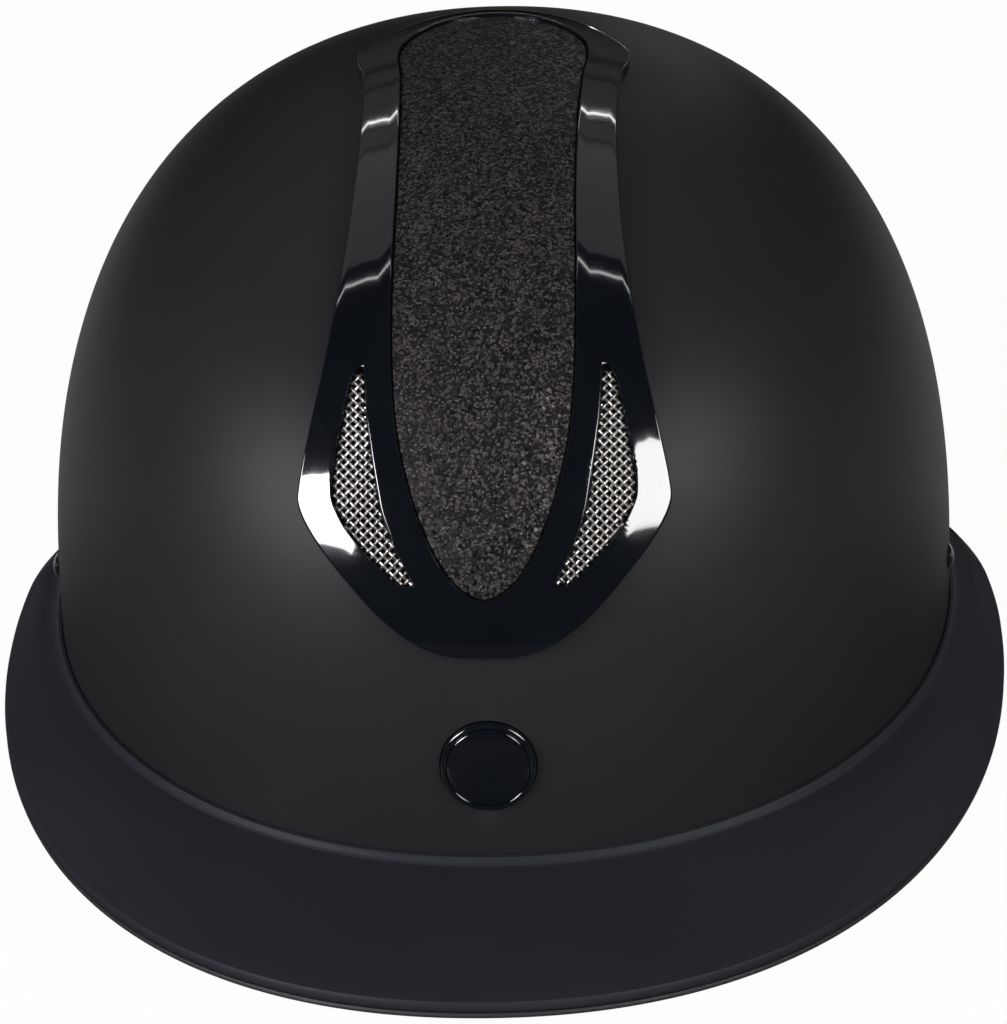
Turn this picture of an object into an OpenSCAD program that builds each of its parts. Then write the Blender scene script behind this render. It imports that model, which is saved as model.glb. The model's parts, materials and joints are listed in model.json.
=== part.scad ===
// Riding helmet with a wide one-piece brim, a gloss centre panel and a nape dial.
// Millimetres. +Z is up, the brim points along -Y, and the wearer's left is +X.
// The helmet stands on the sides of its brim and on the two lobes behind the ears, at z = 0.

/* [Shell] */
// Width of the shell outside, at its widest plane
shell_w = 214; // [196:1:232]
// Reach of the shell ahead of its centre
front_reach = 129.3; // [120:0.1:138]
// Reach of the shell behind its centre
back_reach = 135.3; // [126:0.1:144]
// Height of the crown above the widest plane
dome_h = 122.4; // [112:0.1:132]
// Fullness of the side profile: 2 is an ellipse, more is boxier
side_power = 2.49; // [2.2:0.01:2.7]
// Fullness of the plan: 2 is an ellipse, more is boxier
plan_power = 2.1; // [2:0.01:2.3]
// How far the crown lies behind the centre of the widest plane
crown_lean = 3.9; // [0:0.1:8]
// Wall of the moulded shell
shell_t = 3; // [2:0.1:3.5]
// How far the shell draws in under the nape, at the level of the table
nape_tuck = 6; // [0:0.5:9]
// Height of the shell's edge above the widest plane, at the middle of the nape
nape_z = -0.5; // [-4:0.5:4]
// Angle round from the front to the lowest point of each rear lobe
lobe_at = 136; // [132:1:142]

/* [Brim] */
// Width across the brim
brim_w = 238.8; // [230:0.1:250]
// Reach of the brim's front edge ahead of the shell's centre
brim_reach = 187.5; // [170:0.5:200]
// How far ahead of the centre the brim is widest
brim_wide_at = 11.6; // [4:0.1:20]
// Fullness of the brim's outline
brim_power = 2.1; // [2:0.01:2.3]
// Rearward run of the outline behind its widest point, against the front's
brim_rear_rate = 0.6; // [0.5:0.01:0.7]
// Level of the brim's lower edge at the front
brim_front_z = -16.2; // [-18:0.1:-14]
// Level of the brim's lower edge at the sides
brim_side_z = -19.7; // [-22:0.1:-18]
// Thickness of the moulded brim at its edge
brim_t = 2.9; // [2.4:0.1:3.6]
// Thickness of the lining under the brim
brim_lining_t = 1.3; // [1:0.1:1.8]
// Level of the seam between brim and shell at the front
seam_front_z = -9.9; // [-11:0.1:-9]
// Rise of that seam from the front to the sides
seam_rise = 3; // [2:0.1:4]
// Height of the brim's collar against the shell
brim_lap = 4.5; // [4:0.1:5]
// Thickness of the lip where the brim laps the shell
lip_t = 1.5; // [1.2:0.1:2]

/* [Centre panel] */
// Height of the gloss frame above the shell
panel_h = 2.5; // [2:0.1:3.2]
// Width of the bevel round the gloss frame
bevel_w = 1.3; // [0.8:0.1:1.8]
// Depth of the sparkling insert below the frame
insert_drop = 0.7; // [0.4:0.1:1]
// Gap between the insert and the frame
insert_gap = 0.25; // [0.2:0.05:0.4]
// Thickness of the vent mesh
mesh_t = 0.8; // [0.6:0.1:1]
// Centre distance of the openings in the vent mesh
mesh_pitch = 2.1; // [1.9:0.1:2.6]
// Width across the flats of one opening in the vent mesh
mesh_hole = 1.45; // [1.2:0.05:1.6]
// Land of shell left round each vent under its mesh
vent_land = 1.6; // [1.2:0.1:2]

/* [Badge] */
// Diameter of the badge ring
badge_d = 21; // [18:0.5:24]
// Width of the ring round the badge dome
badge_ring_w = 1.3; // [1:0.1:1.8]
// Height of the badge's middle up the front, from the widest plane
badge_v = 11.8; // [10.5:0.1:13]
// Depth of the seat in the shell for the badge
badge_seat = 1; // [0.6:0.1:1.4]
// Rise of the badge dome above its ring
badge_rise = 1.1; // [0.6:0.1:1.6]
// Diameter of the stud behind the badge
badge_stud_d = 3; // [2.4:0.1:4]

/* [Liner] */
// Thickness of the foam liner
liner_t = 20; // [17:0.5:22]
// Thickness of the comfort pads
pad_t = 5.5; // [4:0.5:6.5]
// Rise angle round the dome at which the crown pad starts
crown_pad_rise = 54; // [52:1:60]
// Height of the headband pad
headband_h = 34; // [26:1:40]
// Width of the air channels along the liner
channel_w = 12; // [8:1:14]
// Depth of the air channels in the liner
channel_t = 6; // [4:0.5:8]

/* [Fit system] */
// Distance of the fit band's middle inside the shell's side
band_side = 31; // [30.5:0.5:33]
// Distance of the fit band's middle inside the shell's back
band_rear = 33.3; // [32.3:0.1:34.3]
// Level of the middle of the fit band
band_z = -4; // [-5:0.5:-2]
// Thickness of the fit arms
arm_t = 2.4; // [2:0.1:2.8]
// Height of the fit arms
arm_h = 13; // [12.5:0.5:15]
// Angle of each arm round from the nape to its temple end
arm_reach = 78; // [70:1:82]
// Tooth size of the rack and pinion, as pitch over pi
gear_module = 1; // [0.9:0.05:1.1]
// Teeth on the dial's pinion
pinion_teeth = 10; // [10:2:12]
// Turn of the dial from loose to tight, in degrees
dial_turn = 160; // [120:5:170]
// Diameter of the dial
dial_d = 28; // [24:1:30]
// Thickness of the dial
dial_t = 9; // [7:0.5:10]
// Grip scallops round the dial
dial_grips = 18; // [12:1:24]
// Diameter of the dial's axle
axle_d = 4; // [3.5:0.1:5]
// Radial clearance of the axle in its housing
axle_clearance = 0.06; // [0.03:0.01:0.1]

/* [Harness] */
// Width of the webbing
web_w = 16; // [14:1:18]
// Thickness of the webbing
web_t = 1.4; // [1.2:0.1:1.8]
// Diameter of the harness rivet heads
rivet_d = 6.4; // [5.5:0.1:8]
// Diameter of the rivet shanks
shank_d = 3.6; // [3:0.1:4.2]
// Distance of the front rivets ahead of the shell's centre, as an angle round the shell
front_rivet_u = 8.7; // [7:0.1:11]
// Distance of the rear rivets behind the shell's centre, as an angle round the shell
rear_rivet_u = 43; // [40:1:46]
// Height of the rivets above the widest plane
rivet_z = 7.4; // [6:0.1:9]
// Distance of the tucked chin strap behind the shell's centre
chin_y = 7; // [4:0.5:10]
// Angle up the strap's arch to the chin buckle
buckle_q = 40; // [38:0.5:42]
// Thickness of the chin buckle
buckle_t = 8; // [7:0.5:9]
// Wall of the buckle beside the webbing
buckle_cheek = 1.6; // [1.2:0.1:2]
// Thickness of the pad on the chin strap
chin_pad_t = 9; // [7:0.5:9.5]

/* [Clearances] */
// Gap between moulded layers that seat on each other
fit_gap = 0.3; // [0.25:0.05:0.4]
// Gap between the foam liner and what it holds or sits in
foam_gap = 0.4; // [0.3:0.05:0.5]
// Running gap round the moving fit arms, dial and buckle
run_gap = 0.35; // [0.3:0.05:0.45]

/* [Hidden] */
$fn = 48;
// Nearly nothing, so that a cut runs past the face it starts from
eps = 0.01;

// Colours of the finishes
matte_black = [0.05, 0.05, 0.052];
gloss_black = [0.01, 0.012, 0.015];
charcoal = [0.16, 0.155, 0.15];
steel = [0.6, 0.6, 0.58];
foam_grey = [0.2, 0.2, 0.21];
cloth_black = [0.07, 0.07, 0.075];

// Stations round the shell and up it
ring_points = 64;
ring_count = 14;

// Offsets of each layer's faces from the shell's outer skin
liner_out = -shell_t - foam_gap;
liner_in = liner_out - liner_t;
pad_out = liner_in - foam_gap;
pad_in = pad_out - pad_t;
web_off = pad_in - 2.2 - web_t / 2;
web_seat = -shell_t - 2 * fit_gap - web_t / 2;
washer_t = 1;
washer_out = web_seat - web_t / 2 - 1.5 * fit_gap;
shank_end = washer_out - washer_t - 0.2;
chin_off = pad_in - buckle_t / 2 - 1.6;

// The ring that the two fit arms slide on, and its centre behind the shell's centre
band_r = shell_w / 2 - band_side;
band_y = back_reach - band_rear - band_r;

// Levels, counted from the widest plane
rest_z = brim_side_z + 0.1;
flange_t = 2;
// Each rear lobe reaches this far below the level that its trim would stand at, for a flat foot
foot_cut = 0.4;
lobe_z = rest_z + flange_t + fit_gap - foot_cut;
trim_leg_t = 1.3;
trim_leg_h = 4;

// Place of the dome's centre in the part's frame, which starts at the middle of its base
dome_z = -rest_z;
dome_y = (brim_reach - at_height(90, nape_z + trim_leg_h, fit_gap + trim_leg_t).y) / 2;

function spow(v, e) = sign(v) * pow(abs(v), e);
function unit(v) = v / norm(v);
function mix(a, b, s) = a + (b - a) * s;
function smooth(s) = let (c = min(1, max(0, s))) c * c * (3 - 2 * c);

// Rise angle at which the skin reaches a height
function rise_at(z, off = 0) = asin(spow(z / (dome_h + off), side_power / 2));

// Point of the dome's skin, off outside the shell: u runs round from +X, p rises from the widest plane
function skin(u, p, off = 0) =
    let (
        c = pow(cos(p), 2 / side_power),
        z = (dome_h + off) * spow(sin(p), 2 / side_power),
        reach = (sin(u) < 0 ? front_reach : back_reach) + off,
        tuck = z < 0 ? nape_tuck * max(0, sin(u)) * pow(z / rest_z, 2) : 0
    )
    [
        (shell_w / 2 + off) * spow(cos(u), 2 / plan_power) * c,
        reach * spow(sin(u), 2 / plan_power) * c - tuck + crown_lean * z / dome_h,
        z
    ];

function at_height(u, z, off = 0) = skin(u, rise_at(z, off), off);

// Outward normal of the skin
function skin_normal(u, p) =
    unit(cross(skin(u + 0.5, p) - skin(u - 0.5, p), skin(u, p + 0.5) - skin(u, p - 0.5)));

// The centre line from the front of the widest plane over the crown, as [length so far, angle]
function mid_point(s) =
    let (z = dome_h * pow(sin(s), 2 / side_power))
    [
        (s < 90 ? -front_reach : back_reach) * pow(abs(cos(s)), 2 / side_power)
            + crown_lean * z / dome_h,
        z
    ];
mid_run = [
    for (s = 0, run = 0; s <= 178; s = s + 1, run = run + norm(mid_point(s) - mid_point(s - 1)))
        [run, s]
];

// Point over the dome at x across and v along the centre line, for the panel and its vents
function on_skin(x, v, off = 0) =
    let (
        s = lookup(v, mid_run),
        across = abs(x) / (shell_w / 2 + off),
        k = pow(across, side_power),
        z = (dome_h + off) * pow(1 - k, 1 / side_power) * pow(sin(s), 2 / side_power),
        reach = s < 90 ? -front_reach - off : back_reach + off,
        q = pow(1 - (1 - k) * pow(sin(s), 2), plan_power / side_power) - pow(across, plan_power)
    )
    [x, reach * pow(max(q, 0), 1 / plan_power) + crown_lean * z / dome_h, z];

// A smooth curve through points, which has one more point at each end to steer it
function heading(p, i) = (p[i + 1] - p[i - 1]) / (norm(p[i + 1] - p[i]) + norm(p[i] - p[i - 1]));
function hermite(p0, p1, t0, t1, s) =
    p0 * (1 + 2 * s) * pow(1 - s, 2) + t0 * s * pow(1 - s, 2)
        + p1 * s * s * (3 - 2 * s) + t1 * s * s * (s - 1);
function curve(p, steps) = [
    for (i = [1 : len(p) - 3], k = [0 : steps - 1])
        let (d = norm(p[i + 1] - p[i]))
            hermite(p[i], p[i + 1], heading(p, i) * d, heading(p, i + 1) * d, k / steps)
];
function flip(p) = [-p.x, p.y];

// Half an outline from its front middle to its rear middle, and the closed loop it makes
function half_outline(p, steps) = concat(
    curve(concat([flip(p[1])], p, [flip(p[len(p) - 2])]), steps), [p[len(p) - 1]]
);
function both_sides(half) = concat(
    half, [for (i = [len(half) - 2 : -1 : 1]) flip(half[i])]
);
function inset(loop, d) =
    let (n = len(loop))
    [
        for (i = [0 : n - 1])
            let (t = unit(loop[(i + 1) % n] - loop[(i + n - 1) % n]))
                loop[i] + d * [-t.y, t.x]
    ];

// Two triangles of a four-cornered face
function two(a, b, c, d) = [[a, b, c], [a, c, d]];

// A closed sheet between an outer and an inner grid of points, rows upwards and columns to the right
module slab(outer, inner) {
    rows = len(outer);
    cols = len(outer[0]);
    n = rows * cols;
    function o(i, j) = i * cols + j;
    function r(i, j) = n + i * cols + j;
    polyhedron(
        [for (row = concat(outer, inner)) each row],
        [
            for (i = [0 : rows - 2], j = [0 : cols - 2]) each concat(
                two(o(i, j), o(i + 1, j), o(i + 1, j + 1), o(i, j + 1)),
                two(r(i, j), r(i, j + 1), r(i + 1, j + 1), r(i + 1, j))
            ),
            for (j = [0 : cols - 2]) each concat(
                two(o(0, j), o(0, j + 1), r(0, j + 1), r(0, j)),
                two(o(rows - 1, j + 1), o(rows - 1, j), r(rows - 1, j), r(rows - 1, j + 1))
            ),
            for (i = [0 : rows - 2]) each concat(
                two(o(i + 1, 0), o(i, 0), r(i, 0), r(i + 1, 0)),
                two(o(i, cols - 1), o(i + 1, cols - 1), r(i + 1, cols - 1), r(i, cols - 1))
            )
        ]
    );
}

// A closed ring lofted through loops that all have as many points
module ring_loft(loops) {
    n = len(loops[0]);
    m = len(loops);
    function at(i, k) = (i % m) * n + k % n;
    polyhedron(
        [for (loop = loops) each loop],
        [
            for (i = [0 : m - 1], k = [0 : n - 1])
                each two(at(i, k), at(i + 1, k), at(i + 1, k + 1), at(i, k + 1))
        ]
    );
}

// A domed wall between two offsets of the skin, from the heights in lows up to the crown,
// with two close rings first, where the wall turns in under its widest plane
turn_z = 4;
module dome_wall(off_out, off_in, lows, count) {
    n = ring_points;
    function rise(i, low, off) =
        let (turn = max(turn_z, low + turn_z))
        i < 2
            ? rise_at(mix(low, turn, i / 2), off)
            : mix(rise_at(turn, off), 90, (i - 2) / (count - 2));
    function ring(i, off) = [
        for (k = [0 : n - 1]) skin(360 * k / n, rise(i, lows[k], off), off)
    ];
    outer = [for (i = [0 : count - 1]) each ring(i, off_out)];
    inner = [for (i = [0 : count - 1]) each ring(i, off_in)];
    tip = 2 * n * count;
    function o(i, k) = i * n + k % n;
    function r(i, k) = n * count + i * n + k % n;
    polyhedron(
        concat(outer, inner, [skin(0, 90, off_out), skin(0, 90, off_in)]),
        [
            for (k = [0 : n - 1]) each concat(
                [for (i = [0 : count - 2]) each concat(
                    two(o(i, k), o(i + 1, k), o(i + 1, k + 1), o(i, k + 1)),
                    two(r(i, k), r(i, k + 1), r(i + 1, k + 1), r(i + 1, k))
                )],
                two(o(0, k), o(0, k + 1), r(0, k + 1), r(0, k)),
                [
                    [o(count - 1, k), tip, o(count - 1, k + 1)],
                    [r(count - 1, k), r(count - 1, k + 1), tip + 1]
                ]
            )
        ]
    );
}

// Turn and move children from the origin, where +Z is outwards, to a place on the skin
module facing(place, normal) {
    translate(place)
        rotate([0, acos(normal.z), atan2(normal.y, normal.x)])
            children();
}

// Every piece is drawn about the dome's centre and set down here
module seated() {
    translate([0, dome_y, dome_z])
        children();
}

module both_hands() {
    children();
    mirror([1, 0, 0])
        children();
}

// Angle round from the front, 0 at the middle of the brim and 180 at the nape
function from_front(u) = abs((u + 630) % 360 - 180);
function seam_z(u) = seam_front_z + seam_rise * pow(cos(u), 2);

// Lower edge of the shell: level under the brim, down at the rear lobes, up at the nape
brim_end = 118;
fade_start = 100;
side_turn = 96;
function rim_z(u) =
    let (f = from_front(u), fore = seam_z(u) - brim_lap)
    f < lobe_at
        ? mix(fore, lobe_z, smooth((f - side_turn) / (lobe_at - side_turn)))
        : mix(lobe_z, nape_z, smooth((f - lobe_at) / (180 - lobe_at)));
rim = [for (k = [0 : ring_points - 1]) rim_z(360 * k / ring_points)];

// The outlines below are drawn on a shell of this width and this run from front to crown,
// and stretch with the shell
drawn_w = 214;
drawn_run = 207.587;
across_scale = shell_w / drawn_w;
along_scale = mid_run[90][0] / drawn_run;
function on_shell(list) = [for (p = list) [p.x * across_scale, p.y * along_scale]];

// Centre panel, as half widths along the centre line
panel_half = half_outline(
    on_shell([
        [0, 37.2], [8, 37.5], [15.5, 40], [23, 45.5], [30.5, 53.5], [36.8, 61.5], [40.4, 68.5],
        [40.4, 74], [38, 86.5], [35, 101], [32.2, 119], [29.9, 143], [29.2, 174], [30, 203],
        [31.8, 218], [30.5, 226], [22, 238], [11, 245], [0, 247]
    ]), 2
);
insert_half = half_outline(
    on_shell([
        [0, 49.7], [4.5, 51.5], [9.1, 56.4], [13.4, 65], [16.6, 75], [19, 87], [20.1, 103],
        [20.2, 124], [20, 148], [20.3, 174], [21.2, 200], [22.2, 217], [20.5, 228], [15, 236.5],
        [8, 241.5], [0, 243]
    ]), 2
);
// The same number of stations on both, so that they can be joined
stations = 36;
function resampled(half) = [
    for (i = [0 : stations])
        let (t = i / stations * (len(half) - 1), k = min(floor(t), len(half) - 2))
            mix(half[k], half[k + 1], t - k)
];
panel_loop = both_sides(resampled(panel_half));
insert_loop = both_sides(resampled(insert_half));
function lifted(loop, off) = [for (p = loop) on_skin(p.x, p.y, off)];
function between(a, b, s) = [for (i = [0 : len(a) - 1]) mix(a[i], b[i], s)];

// Vent outline, as [v along the centre line, x across] for its inner and outer edges
vent_inner = [
    [51.5, 14.6], [60.7, 19.3], [68.5, 22.2], [79, 23.9], [89, 25.3], [96.5, 25.6], [100.6, 26.2]
];
vent_outer = [
    [51.5, 15.2], [53, 19.3], [58.8, 25.4], [65.2, 30.5], [70.5, 33], [75.5, 33], [84.4, 31.5],
    [97, 29], [100.6, 26.9]
];
vent_low = 52.6 * along_scale;
vent_high = 100.2 * along_scale;
function vent_in(v) = across_scale * lookup(v / along_scale, vent_inner);
function vent_out(v) = across_scale * lookup(v / along_scale, vent_outer);
// Rows of a vent as [x inner, x outer, v], drawn in by d all round
function vent_rows(d, n) = [
    for (i = [0 : n])
        let (
            v = mix(vent_low + 1.6 * d, vent_high - 1.6 * d, i / n),
            a = vent_in(v) + 1.15 * d,
            b = vent_out(v) - 1.15 * d,
            mid = (a + b) / 2,
            half = max(0.25, (b - a) / 2)
        )
            [mid - half, mid + half, v]
];
module vent_block(d, n, off_in, off_out) {
    rows = vent_rows(d, n);
    slab(
        [for (r = rows) [on_skin(r[0], r[2], off_out), on_skin(r[1], r[2], off_out)]],
        [for (r = rows) [on_skin(r[0], r[2], off_in), on_skin(r[1], r[2], off_in)]]
    );
}

// Round seats of the harness rivets, as [u, z] on the wearer's left
rivet_seats = [[-front_rivet_u, rivet_z], [rear_rivet_u, rivet_z]];
module at_rivets() {
    both_hands()
        for (s = rivet_seats)
            let (p = rise_at(s[1]))
                facing(skin(s[0], p), skin_normal(s[0], p))
                    children();
}
badge_at = on_skin(0, badge_v);
badge_normal = unit(cross([1, 0, 0], on_skin(0, badge_v + 1) - on_skin(0, badge_v - 1)));

module outer_shell() {
    color(matte_black) seated()
        difference() {
            dome_wall(0, -shell_t, rim, ring_count);
            both_hands()
                vent_block(vent_land, 8, -shell_t - 2, 2);
            at_rivets()
                cylinder(d = shank_d + 2 * fit_gap, h = 4 * shell_t, center = true);
            facing(badge_at, badge_normal) {
                translate([0, 0, -badge_seat])
                    cylinder(d = badge_d + 2 * fit_gap, h = 2 * badge_seat);
                cylinder(d = badge_stud_d + 2 * fit_gap, h = 4 * shell_t, center = true);
            }
        }
}

// Brim stations: g is the angle round from the front in the brim's own outline
brim_steps = 30;
brim_length = brim_reach - brim_wide_at;
function brim_outline(g) =
    let (t = 90 - abs(g), rate = t < 0 ? brim_rear_rate : 1)
    [
        sign(g) * brim_w / 2 * pow(cos(t), 2 / brim_power),
        -brim_wide_at - rate * brim_length * spow(sin(t), 2 / brim_power)
    ];
function root_u(g) = -90 + sign(g) * (abs(g) < 90 ? abs(g) : mix(90, abs(g), brim_rear_rate));
// The brim dies away over its last stretch
function fade(g) = 1 - pow(max(0, (abs(g) - fade_start) / (brim_end - fade_start)), 2);
function edge_z(g) =
    let (s = pow(sin(g), 2), z = mix(brim_front_z, brim_side_z, s * (2 - s)))
    mix(rim_z(root_u(g)) - brim_lining_t, z, abs(g) < 90 ? 1 : 1 - smooth((abs(g) - 90) / (brim_end - 90)));
// A point of the brim's section, d out from the shell towards the edge
function brim_point(g, d, z) =
    let (
        u = root_u(g),
        root = at_height(u, min(z, seam_z(u)), fit_gap),
        edge = brim_outline(g),
        run = edge - [root.x, root.y],
        away = unit(run)
    )
    [root.x + away.x * d, root.y + away.y * d, z];
function brim_run(g) =
    let (root = at_height(root_u(g), seam_z(root_u(g)), fit_gap))
    max(lip_t + 0.4, norm(brim_outline(g) - [root.x, root.y]) * fade(g));
brim_stations = [for (i = [-brim_steps : brim_steps]) brim_end * i / brim_steps];

module brim() {
    function collar_z(g) = mix(rim_z(root_u(g)) + 1.5, seam_z(root_u(g)), fade(g));
    function top_row(g) =
        let (
            run = brim_run(g),
            seam = collar_z(g),
            edge = edge_z(g) + brim_lining_t + brim_t,
            plane = seam - 0.38 * brim_lap,
            near = min(run * 0.8, lip_t + 3)
        )
        [
            brim_point(g, 0, seam),
            brim_point(g, min(lip_t, run) - 0.35, seam),
            brim_point(g, min(lip_t, run - 0.3), seam - 0.4),
            brim_point(g, min(lip_t + 0.8, run - 0.2), plane + 0.3),
            brim_point(g, near, mix(plane, edge, near / run * 0.5)),
            brim_point(g, mix(near, run, 0.33), mix(plane, edge, 0.36) + 0.25),
            brim_point(g, mix(near, run, 0.67), mix(plane, edge, 0.7) + 0.25),
            brim_point(g, mix(near, run, 0.94), mix(plane, edge, 0.97)),
            brim_point(g, run - 0.1, edge - 0.9)
        ];
    function low_row(g) =
        let (
            run = brim_run(g),
            base = rim_z(root_u(g)),
            edge = edge_z(g) + brim_lining_t + fit_gap / 2
        )
        [
            for (s = [0, 0.1, 0.16, 0.24, 0.32, 0.55, 0.78, 0.93])
                brim_point(g, run * s, mix(base, edge, s)),
            brim_point(g, run - 0.6, edge)
        ];
    color(matte_black) seated()
        slab(
            [for (g = brim_stations) top_row(g)],
            [for (g = brim_stations) low_row(g)]
        );
}

module brim_lining() {
    // From under the shell's edge out to the bead along the brim's edge, flat on the table
    function row(g, drop) =
        let (
            u = root_u(g),
            run = brim_run(g),
            base = rim_z(u) - fit_gap / 2,
            edge = edge_z(g) + brim_lining_t - fit_gap / 2,
            inner = at_height(u, base, -shell_t)
        )
        [
            [inner.x, inner.y, max(rest_z, base - drop)],
            brim_point(g, 0, max(rest_z, base - drop)),
            brim_point(g, run * 0.33, max(rest_z, mix(base, edge, 0.33) - drop)),
            brim_point(g, run * 0.67, max(rest_z, mix(base, edge, 0.67) - drop)),
            brim_point(g, run * 0.88, max(rest_z, mix(base, edge, drop > 0 ? 1 : 0.9) - drop)),
            brim_point(g, run - (drop > 0 ? 0.2 : 0), max(rest_z, edge - drop))
        ];
    color(gloss_black) seated()
        slab(
            [for (g = brim_stations) row(g, 0)],
            [for (g = brim_stations) row(g, brim_lining_t)]
        );
}

// Soft edging round the back of the shell, from behind one end of the brim to the other
module rim_trim() {
    steps = 40;
    start = root_u(brim_end) + 2;
    function row(u, chain) = [
        for (c = chain)
            let (z = max(rest_z, rim_z(u) + c[1]), p = at_height(u, max(z, rim_z(u) - fit_gap), c[0]))
                [p.x, p.y, z]
    ];
    leg = fit_gap + trim_leg_t;
    outside = [
        [leg - 0.5, trim_leg_h], [leg, trim_leg_h - 1], [leg, -flange_t / 2],
        [leg - 0.7, -flange_t - fit_gap], [-shell_t, -flange_t - fit_gap]
    ];
    inside = [
        [fit_gap, trim_leg_h], [fit_gap, trim_leg_h - 1], [fit_gap, -fit_gap],
        [0, -fit_gap], [-shell_t, -fit_gap]
    ];
    function turn(i) = mix(start, 180 - start, i / steps);
    color(cloth_black) seated()
        slab(
            [for (i = [0 : steps]) row(turn(i), outside)],
            [for (i = [0 : steps]) row(turn(i), inside)]
        );
}

module panel_frame() {
    top_out = inset(panel_loop, bevel_w);
    top_in = inset(insert_loop, -0.5);
    color(gloss_black) seated()
        difference() {
            ring_loft([
                lifted(panel_loop, 1.5 * fit_gap),
                lifted(panel_loop, panel_h - 1.1),
                lifted(top_out, panel_h),
                lifted(between(top_out, top_in, 0.33), panel_h + 0.2),
                lifted(between(top_out, top_in, 0.67), panel_h + 0.2),
                lifted(top_in, panel_h),
                lifted(insert_loop, panel_h - 0.5),
                lifted(insert_loop, 1.5 * fit_gap),
                lifted(between(panel_loop, insert_loop, 0.67), 2 * fit_gap),
                lifted(between(panel_loop, insert_loop, 0.33), 2 * fit_gap)
            ]);
            both_hands()
                vent_block(0, 28, -1, panel_h + 2);
        }
}

// Gently crowned plate inside the frame, finished with fine sparkle
module glitter_insert() {
    rim_loop = inset(insert_loop, insert_gap);
    edge = [for (i = [1 : stations - 1]) rim_loop[i]];
    function row(p, off, crown) = [
        for (s = [-1, -0.5, 0, 0.5, 1])
            on_skin(p.x * s, p.y, off + crown * (1 - s * s))
    ];
    top = panel_h - insert_drop;
    color(charcoal) seated()
        slab(
            [for (p = edge) row(p, top, 0.4)],
            [for (p = edge) row(p, fit_gap, 0)]
        );
}

// Curved sheet with six-sided openings in staggered rows
module vent_mesh() {
    margin = 0.55;
    mesh_off = 0.4;
    row_step = mesh_pitch * sin(60);
    rows = ceil((vent_high - vent_low) / row_step);
    cols = ceil(40 / mesh_pitch);
    reach = mesh_hole / 2 + margin;
    color(steel) seated()
        difference() {
            vent_block(1.5 * fit_gap, 14, mesh_off, mesh_off + mesh_t);
            for (i = [0 : rows], j = [0 : cols])
                let (
                    v = vent_low + i * row_step,
                    x = (j + (i % 2) / 2) * mesh_pitch,
                    low = max(vent_in(v - reach), vent_in(v), vent_in(v + reach)) + reach,
                    high = min(vent_out(v - reach), vent_out(v), vent_out(v + reach)) - reach,
                    n = unit(cross(
                        on_skin(x + 1, v) - on_skin(x - 1, v), on_skin(x, v + 1) - on_skin(x, v - 1)
                    ))
                )
                    if (x > low && x < high && v > vent_low + 2 * reach && v < vent_high - 2 * reach)
                        facing(on_skin(x, v, mesh_off + mesh_t / 2), n)
                            cylinder(d = mesh_hole / cos(30), h = 3 * mesh_t, center = true, $fn = 6);
        }
}
module vent_mesh_left() {
    vent_mesh();
}
module vent_mesh_right() {
    mirror([1, 0, 0])
        vent_mesh();
}

// Ring round the badge, standing in the shell's round seat
module badge_ring() {
    color(gloss_black) seated()
        facing(badge_at, badge_normal)
            translate([0, 0, -badge_seat + fit_gap / 2])
                rotate_extrude()
                    polygon([
                        [badge_d / 2 - badge_ring_w, 0], [badge_d / 2, 0],
                        [badge_d / 2, badge_seat + 0.5], [badge_d / 2 - 0.4, badge_seat + 0.9],
                        [badge_d / 2 - badge_ring_w, badge_seat + 0.9]
                    ]);
}

// Plain domed badge on a stud through the shell
module badge_dome() {
    r = badge_d / 2 - badge_ring_w - fit_gap / 3;
    base = badge_seat + 0.9;
    bulge = (r * r + badge_rise * badge_rise) / (2 * badge_rise);
    color(gloss_black) seated()
        facing(badge_at, badge_normal)
            translate([0, 0, -badge_seat + fit_gap / 2]) {
                rotate_extrude()
                    intersection() {
                        square([r, base + badge_rise]);
                        translate([0, base + badge_rise - bulge])
                            circle(r = bulge, $fn = 200);
                    }
                translate([0, 0, badge_seat - shell_t])
                    cylinder(d = badge_stud_d, h = shell_t - badge_seat + eps);
            }
}

head_t = 1.3;
module harness_rivets() {
    bulge = (pow(rivet_d / 2, 2) + head_t * head_t) / (2 * head_t);
    color(gloss_black) seated()
        at_rivets() {
            translate([0, 0, fit_gap / 2])
                rotate_extrude()
                    intersection() {
                        square([rivet_d / 2, head_t]);
                        translate([0, head_t - bulge])
                            circle(r = bulge, $fn = 120);
                    }
            translate([0, 0, shank_end])
                cylinder(d = shank_d, h = fit_gap - shank_end);
        }
}

// Washers under the shell, each held by the rivet's shank
module rivet_washers() {
    color(steel) seated()
        at_rivets()
            translate([0, 0, washer_out - washer_t])
                difference() {
                    cylinder(d = rivet_d + 4, h = washer_t);
                    translate([0, 0, -1])
                        cylinder(d = shank_d + fit_gap / 2, h = washer_t + 2);
                }
}

// Room in the liner for each strap leg, from above its rivet down past the edge
slot_top = rivet_z + web_w / 2 + 2;
module strap_slot(u) {
    half = (web_w / 2 + 2.5) * 360 / PI / shell_w;
    outside = liner_out + 2;
    inside = shank_end - foam_gap;
    rows = [rest_z - 2, rest_z / 2, 0, slot_top / 2, slot_top];
    function row(z, off) = [for (s = [-1, 0, 1]) at_height(u + s * half, z, off)];
    slab([for (z = rows) row(z, outside)], [for (z = rows) row(z, inside)]);
    // The notch across the liner's edge, where the leg turns under it
    under = [rest_z - 2, leg_low(u) + web_t / 2 + foam_gap];
    slab([for (z = under) row(z, outside)], [for (z = under) row(z, liner_in - 2)]);
}

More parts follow.
